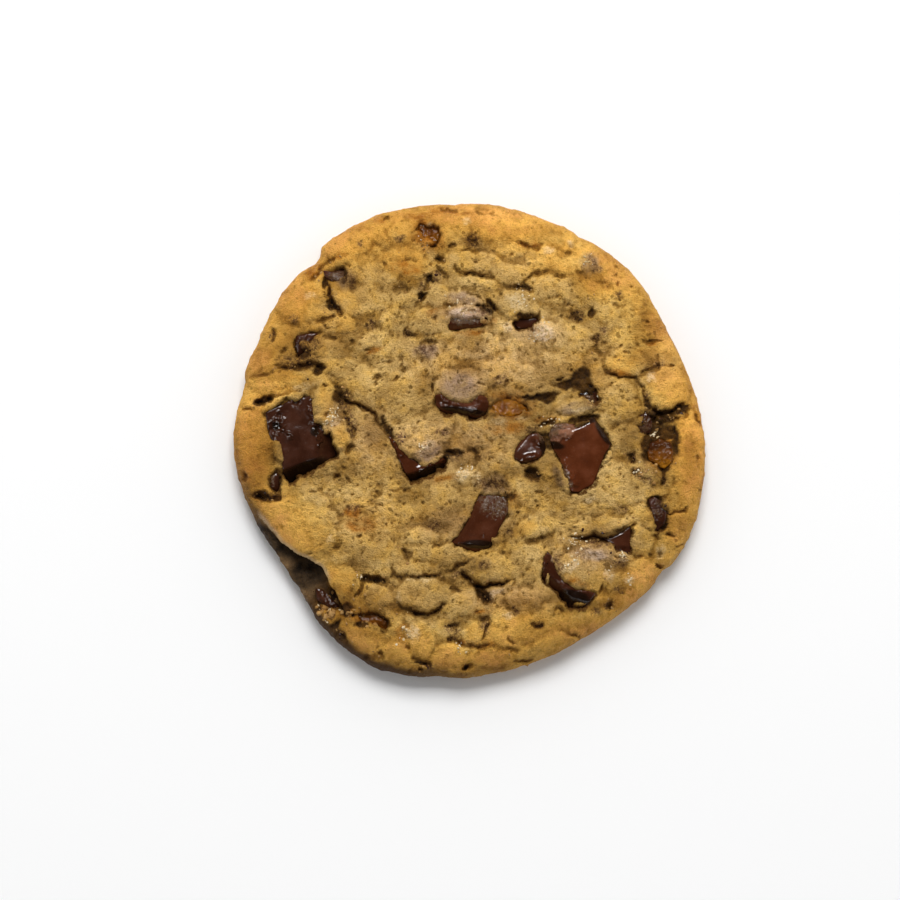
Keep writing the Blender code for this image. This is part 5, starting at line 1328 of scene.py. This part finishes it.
def dough_material():
    m = Shading("dough", Specular_IOR_Level=0.12)
    patch = m.noise(2.2, 3, 0.6)
    grain, fine = m.noise(0.6, 3, 0.65), m.noise(0.3, 2, 0.7)
    crumb = m.noise(2.3, 5, 0.62)
    color = m.toned(baked_color(m, patch, grain), broad_tone(m, crumb), 1.18, 1.6)
    color = m.toned(color, close_tone(m, grain, fine), 1.1, 1.4)
    # Painted shade in the cracks and in the gap beside the pieces: brown, and nearly black where deepest.
    dark = m.larger(m.mask("dark"), m.times(m.mask("painted_gap_shade"), 0.8))
    dark = m.plus(dark, m.times(m.minus(0.5, grain), m.span(dark, 0.05, 0.4, 0.0, 1.2)))
    color = m.blend(m.span(dark, 0.12, 0.7), color, CREVICE_SHADE)
    color = m.blend(m.span(dark, 0.7, 1.15), color, BLACKISH)
    # Dark melted chocolate in the hollows; some of these patches are painted shadow.
    hollow = m.times(m.mask("hollow"), m.span(grain, 0.34, 0.66, 1.0, 0.88))
    color = m.blend(hollow, color, m.blend(m.span(patch, 0.36, 0.6), BLACKISH, MELTED))
    # The brown underside at the edge, darkened with painted shade on the side turned from the light.
    color = m.blend(m.mask("shaded_sole"), color, SHADED_SOLE)
    # Painted shade on the ledge under the lobe, nearly black beside it.
    color = m.blend(m.times(m.mask("under"), 0.85), color, SHADED_LEDGE)
    color = m.blend(m.times(m.mask("ledge"), m.span(crumb, 0.35, 0.65, 1.0, 0.75)), color, BLACK_LEDGE_SHADE)
    # A painted highlight on the lobe's shoulder.
    color = m.blend(m.times(m.mask("painted_shoulder_highlight"), 0.6), color, SHOULDER_HIGHLIGHT)
    height = m.nodes.new("ShaderNodeSeparateXYZ")
    m.put(height, "Vector", m.place)
    color = m.blend(m.span(height.outputs["Z"], 0.0, 1.8 * MM, 0.85, 0.0), color, UNDERSIDE)
    greasy = m.larger(m.larger(m.mask("pale"), m.mask("amber")), m.mask("hollow"))
    roughness = m.minus(m.span(grain, 0.3, 0.7, 0.8, 0.48), m.times(greasy, 0.2))
    normal = m.bump(crumb, 0.34)
    normal = m.bump(grain, 0.3, normal)
    normal = m.bump(fine, 0.2, normal)
    return m.finish(color, roughness, normal)


def chocolate_material():
    m = Shading("chocolate", Specular_IOR_Level=0.45)
    patch = m.noise(3.5, 3, 0.55)
    grain = m.noise(0.6, 3, 0.65)
    patchy = m.span(patch, 0.35, 0.68)
    dark = m.blend(patchy, *DARK_CHOCOLATE)
    red = m.blend(patchy, *RED_CHOCOLATE)
    # Redder chocolate on some chunks, partly painted light on the better lit ones.
    color = m.blend(m.mask("redness"), dark, red)
    color = m.blend(m.span(m.noise(0.3, 2), 0.62, 0.75, 0.0, 0.22), color, DUST)
    # A pinkish painted sheen on chocolate turned to the light.
    color = m.blend(m.times(m.mask("painted_rosy_sheen"), m.span(grain, 0.3, 0.6, 1.0, 0.6)), color, ROSY_SHEEN)
    # Painted shade on faces turned from the light.
    color = m.blend(m.times(m.mask("black"), 0.9), color, UNLIT)
    film = m.plus(m.mask("film"), m.times(m.minus(grain, 0.5), m.span(m.mask("film"), 0, 0.3, 0, 1.4)))
    color = m.blend(m.span(film, 0.25, 0.55, 0.0, 0.9), color, THIN_FILM)
    color = m.blend(m.span(film, 0.7, 1.0), color, THICK_FILM)
    roughness = m.plus(m.span(patch, 0.3, 0.7, 0.13, 0.24), m.span(film, 0.2, 0.6, 0.0, 0.12))
    roughness = m.times(roughness, m.minus(1.0, m.times(m.mask("torn"), 0.5)))
    normal = m.bump(m.noise(1.6, 3), 0.09)
    normal = m.bump(grain, 0.02, normal)
    normal = m.bump(m.times(m.noise(0.8, 2), m.mask("torn")), 0.45, normal)
    normal = m.bump(m.times(m.grains(0.7), m.span(film, 0.2, 0.6)), 0.08, normal)
    return m.finish(color, roughness, normal)


def caramel_material():
    m = Shading("caramel", Specular_IOR_Level=0.28)
    clear = m.plus(m.mask("clear"), m.times(m.minus(m.noise(2.2, 3, 0.55), 0.5), 1.2))
    color = m.blend(m.span(clear, -0.1, 0.5), BURNT_SUGAR, BROWN_CARAMEL)
    color = m.blend(m.span(clear, 0.4, 1.1), color, CLEAR_CARAMEL)
    return m.finish(color, m.span(m.noise(1.2), 0.3, 0.7, 0.13, 0.06), m.bump(m.noise(0.75), 0.55))


def crumb_material():
    m = Shading("crumbs", Specular_IOR_Level=0.3)
    color = m.blend(m.span(m.noise(1.3), 0.35, 0.65), *DRY_CRUMBS)
    color = m.blend(m.span(m.noise(0.3, 3), 0.5, 0.7, 0.0, 0.5), color, CRUMB_SPECKS)
    return m.finish(color, m.span(m.noise(0.5), 0.3, 0.7, 0.5, 0.8), m.bump(m.noise(0.35, 3, 0.6), 0.1))


def wet_material():
    m = Shading("wet_crumbs", Specular_IOR_Level=0.5)
    # Pale crumbs, their light colour partly a painted highlight.
    color = m.blend(m.span(m.noise(1.1), 0.35, 0.65), *WET_CRUMBS)
    return m.finish(color, m.span(m.noise(0.4), 0.3, 0.7, 0.12, 0.35), m.bump(m.noise(0.3, 3, 0.6), 0.15))


def floor_material():
    m = Shading("floor", Specular_IOR_Level=0.0)
    color = m.blend(m.noise(400), (0.93, 0.93, 0.93), (0.95, 0.95, 0.95))
    return m.finish(color, 0.9, m.bump(m.noise(3), 0.01))


# ---- the studio ----


PHOTO_WIDTH = 171.7  # millimetres of the table across the picture
CAMERA_DISTANCE = 900.0
CAMERA_AZIMUTH = math.radians(-35)
CAMERA_ELEVATION = math.radians(86)
LOOK_AT = (-3.83, -1.8, LIP)
FLOOR_HALF_WIDTH = 3.0  # metres


def add_camera():
    outward, up = math.cos(CAMERA_ELEVATION), math.sin(CAMERA_ELEVATION)
    back = Vector((math.sin(CAMERA_AZIMUTH) * outward, -math.cos(CAMERA_AZIMUTH) * outward, up))
    right = Vector((0, 1, 0)).cross(back).normalized()
    data = bpy.data.cameras.new("camera")
    data.sensor_width = 36
    data.lens = data.sensor_width * CAMERA_DISTANCE / PHOTO_WIDTH
    camera = placed("camera", data)
    camera.matrix_world = Matrix((right, back.cross(right), back)).transposed().to_4x4()
    camera.matrix_world.translation = (Vector(LOOK_AT) + back * CAMERA_DISTANCE) * MM
    bpy.context.scene.camera = camera


def add_lamp(name, place, size, energy, only_glints):
    """A soft lamp, places and sizes in metres. It either only lights the scene or only glints in it."""
    data = bpy.data.lights.new(name, "AREA")
    data.shape = "RECTANGLE"
    data.size, data.size_y = size
    data.energy = energy
    lamp = placed(name, data)
    lamp.location = place
    lamp.visible_glossy = only_glints
    lamp.visible_diffuse = not only_glints
    lamp.rotation_euler = (-Vector(place)).to_track_quat("-Z", "Y").to_euler()


def add_floor():
    mesh = bpy.data.meshes.new("floor")
    bm = bmesh.new()
    bmesh.ops.create_grid(bm, x_segments=1, y_segments=1, size=FLOOR_HALF_WIDTH)
    bm.to_mesh(mesh)
    bm.free()
    mesh.materials.append(floor_material())
    placed("floor", mesh)


def add_sky():
    """A white dome, bright low down and dim overhead, a little brighter behind the cookie."""
    world = bpy.data.worlds.new("studio")
    bpy.context.scene.world = world
    tree = Tree(world)
    split = tree.nodes.new("ShaderNodeSeparateXYZ")
    tree.put(split, 0, tree.nodes.new("ShaderNodeTexCoord").outputs["Generated"])
    strength = tree.span(split.outputs["Z"], 0.5, 0.93, 0.9, 0.04, "LINEAR")
    strength = tree.times(strength, tree.span(split.outputs["Y"], -0.9, 0.9, 0.55, 1.35, "LINEAR"))
    strength = tree.times(strength, tree.span(split.outputs["X"], -0.9, 0.9, 0.95, 1.05, "LINEAR"))
    tree.put(tree.nodes["Background"], "Color", (1, 1, 1, 1))
    tree.put(tree.nodes["Background"], "Strength", strength)
    world.cycles_visibility.glossy = False


def add_studio():
    add_camera()
    add_floor()
    add_sky()
    add_lamp("key", (0.0, 0.85, 1.05), (0.8, 0.6), 15.4, only_glints=False)
    add_lamp("window", (-0.15, 0.66, 1.15), (0.3, 0.22), 11, only_glints=True)
    add_lamp("low_window", (-0.45, -0.6, 1.2), (0.16, 0.1), 3, only_glints=True)
    bpy.context.scene.view_settings.view_transform = "Standard"


def show(piece, material, node=None):
    """Gives a piece its material, ties it to the cookie and hides the CAD node it stands for."""
    piece.data.materials.clear()
    piece.data.materials.append(material)
    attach(piece, "root")
    if node:
        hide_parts(node)


def main():
    add_studio()
    dough = make_dough()
    show(dough, dough_material(), "dough")
    chocolate, caramel = chocolate_material(), caramel_material()
    for node in CHUNKS:
        show(make_chunk(node), chocolate, node)
    for node in CARAMELS:
        show(make_caramel(node), caramel, node)
    surface = ray_tree(dough.data)
    bits = make_bits("chocolate_bits", clustered(BIT_CLUSTERS, "bits", 0.12, 0.36), 0.7, surface)
    crumbs = make_bits("crumbs", crumb_places(), 0.9, surface)
    wet_crumbs = make_bits("wet_crumbs", clustered(WET_CLUSTERS, "wet", 0.1, 0.3), 0.8, surface)
    show(bits, chocolate)
    show(crumbs, crumb_material())
    show(wet_crumbs, wet_material())


main()
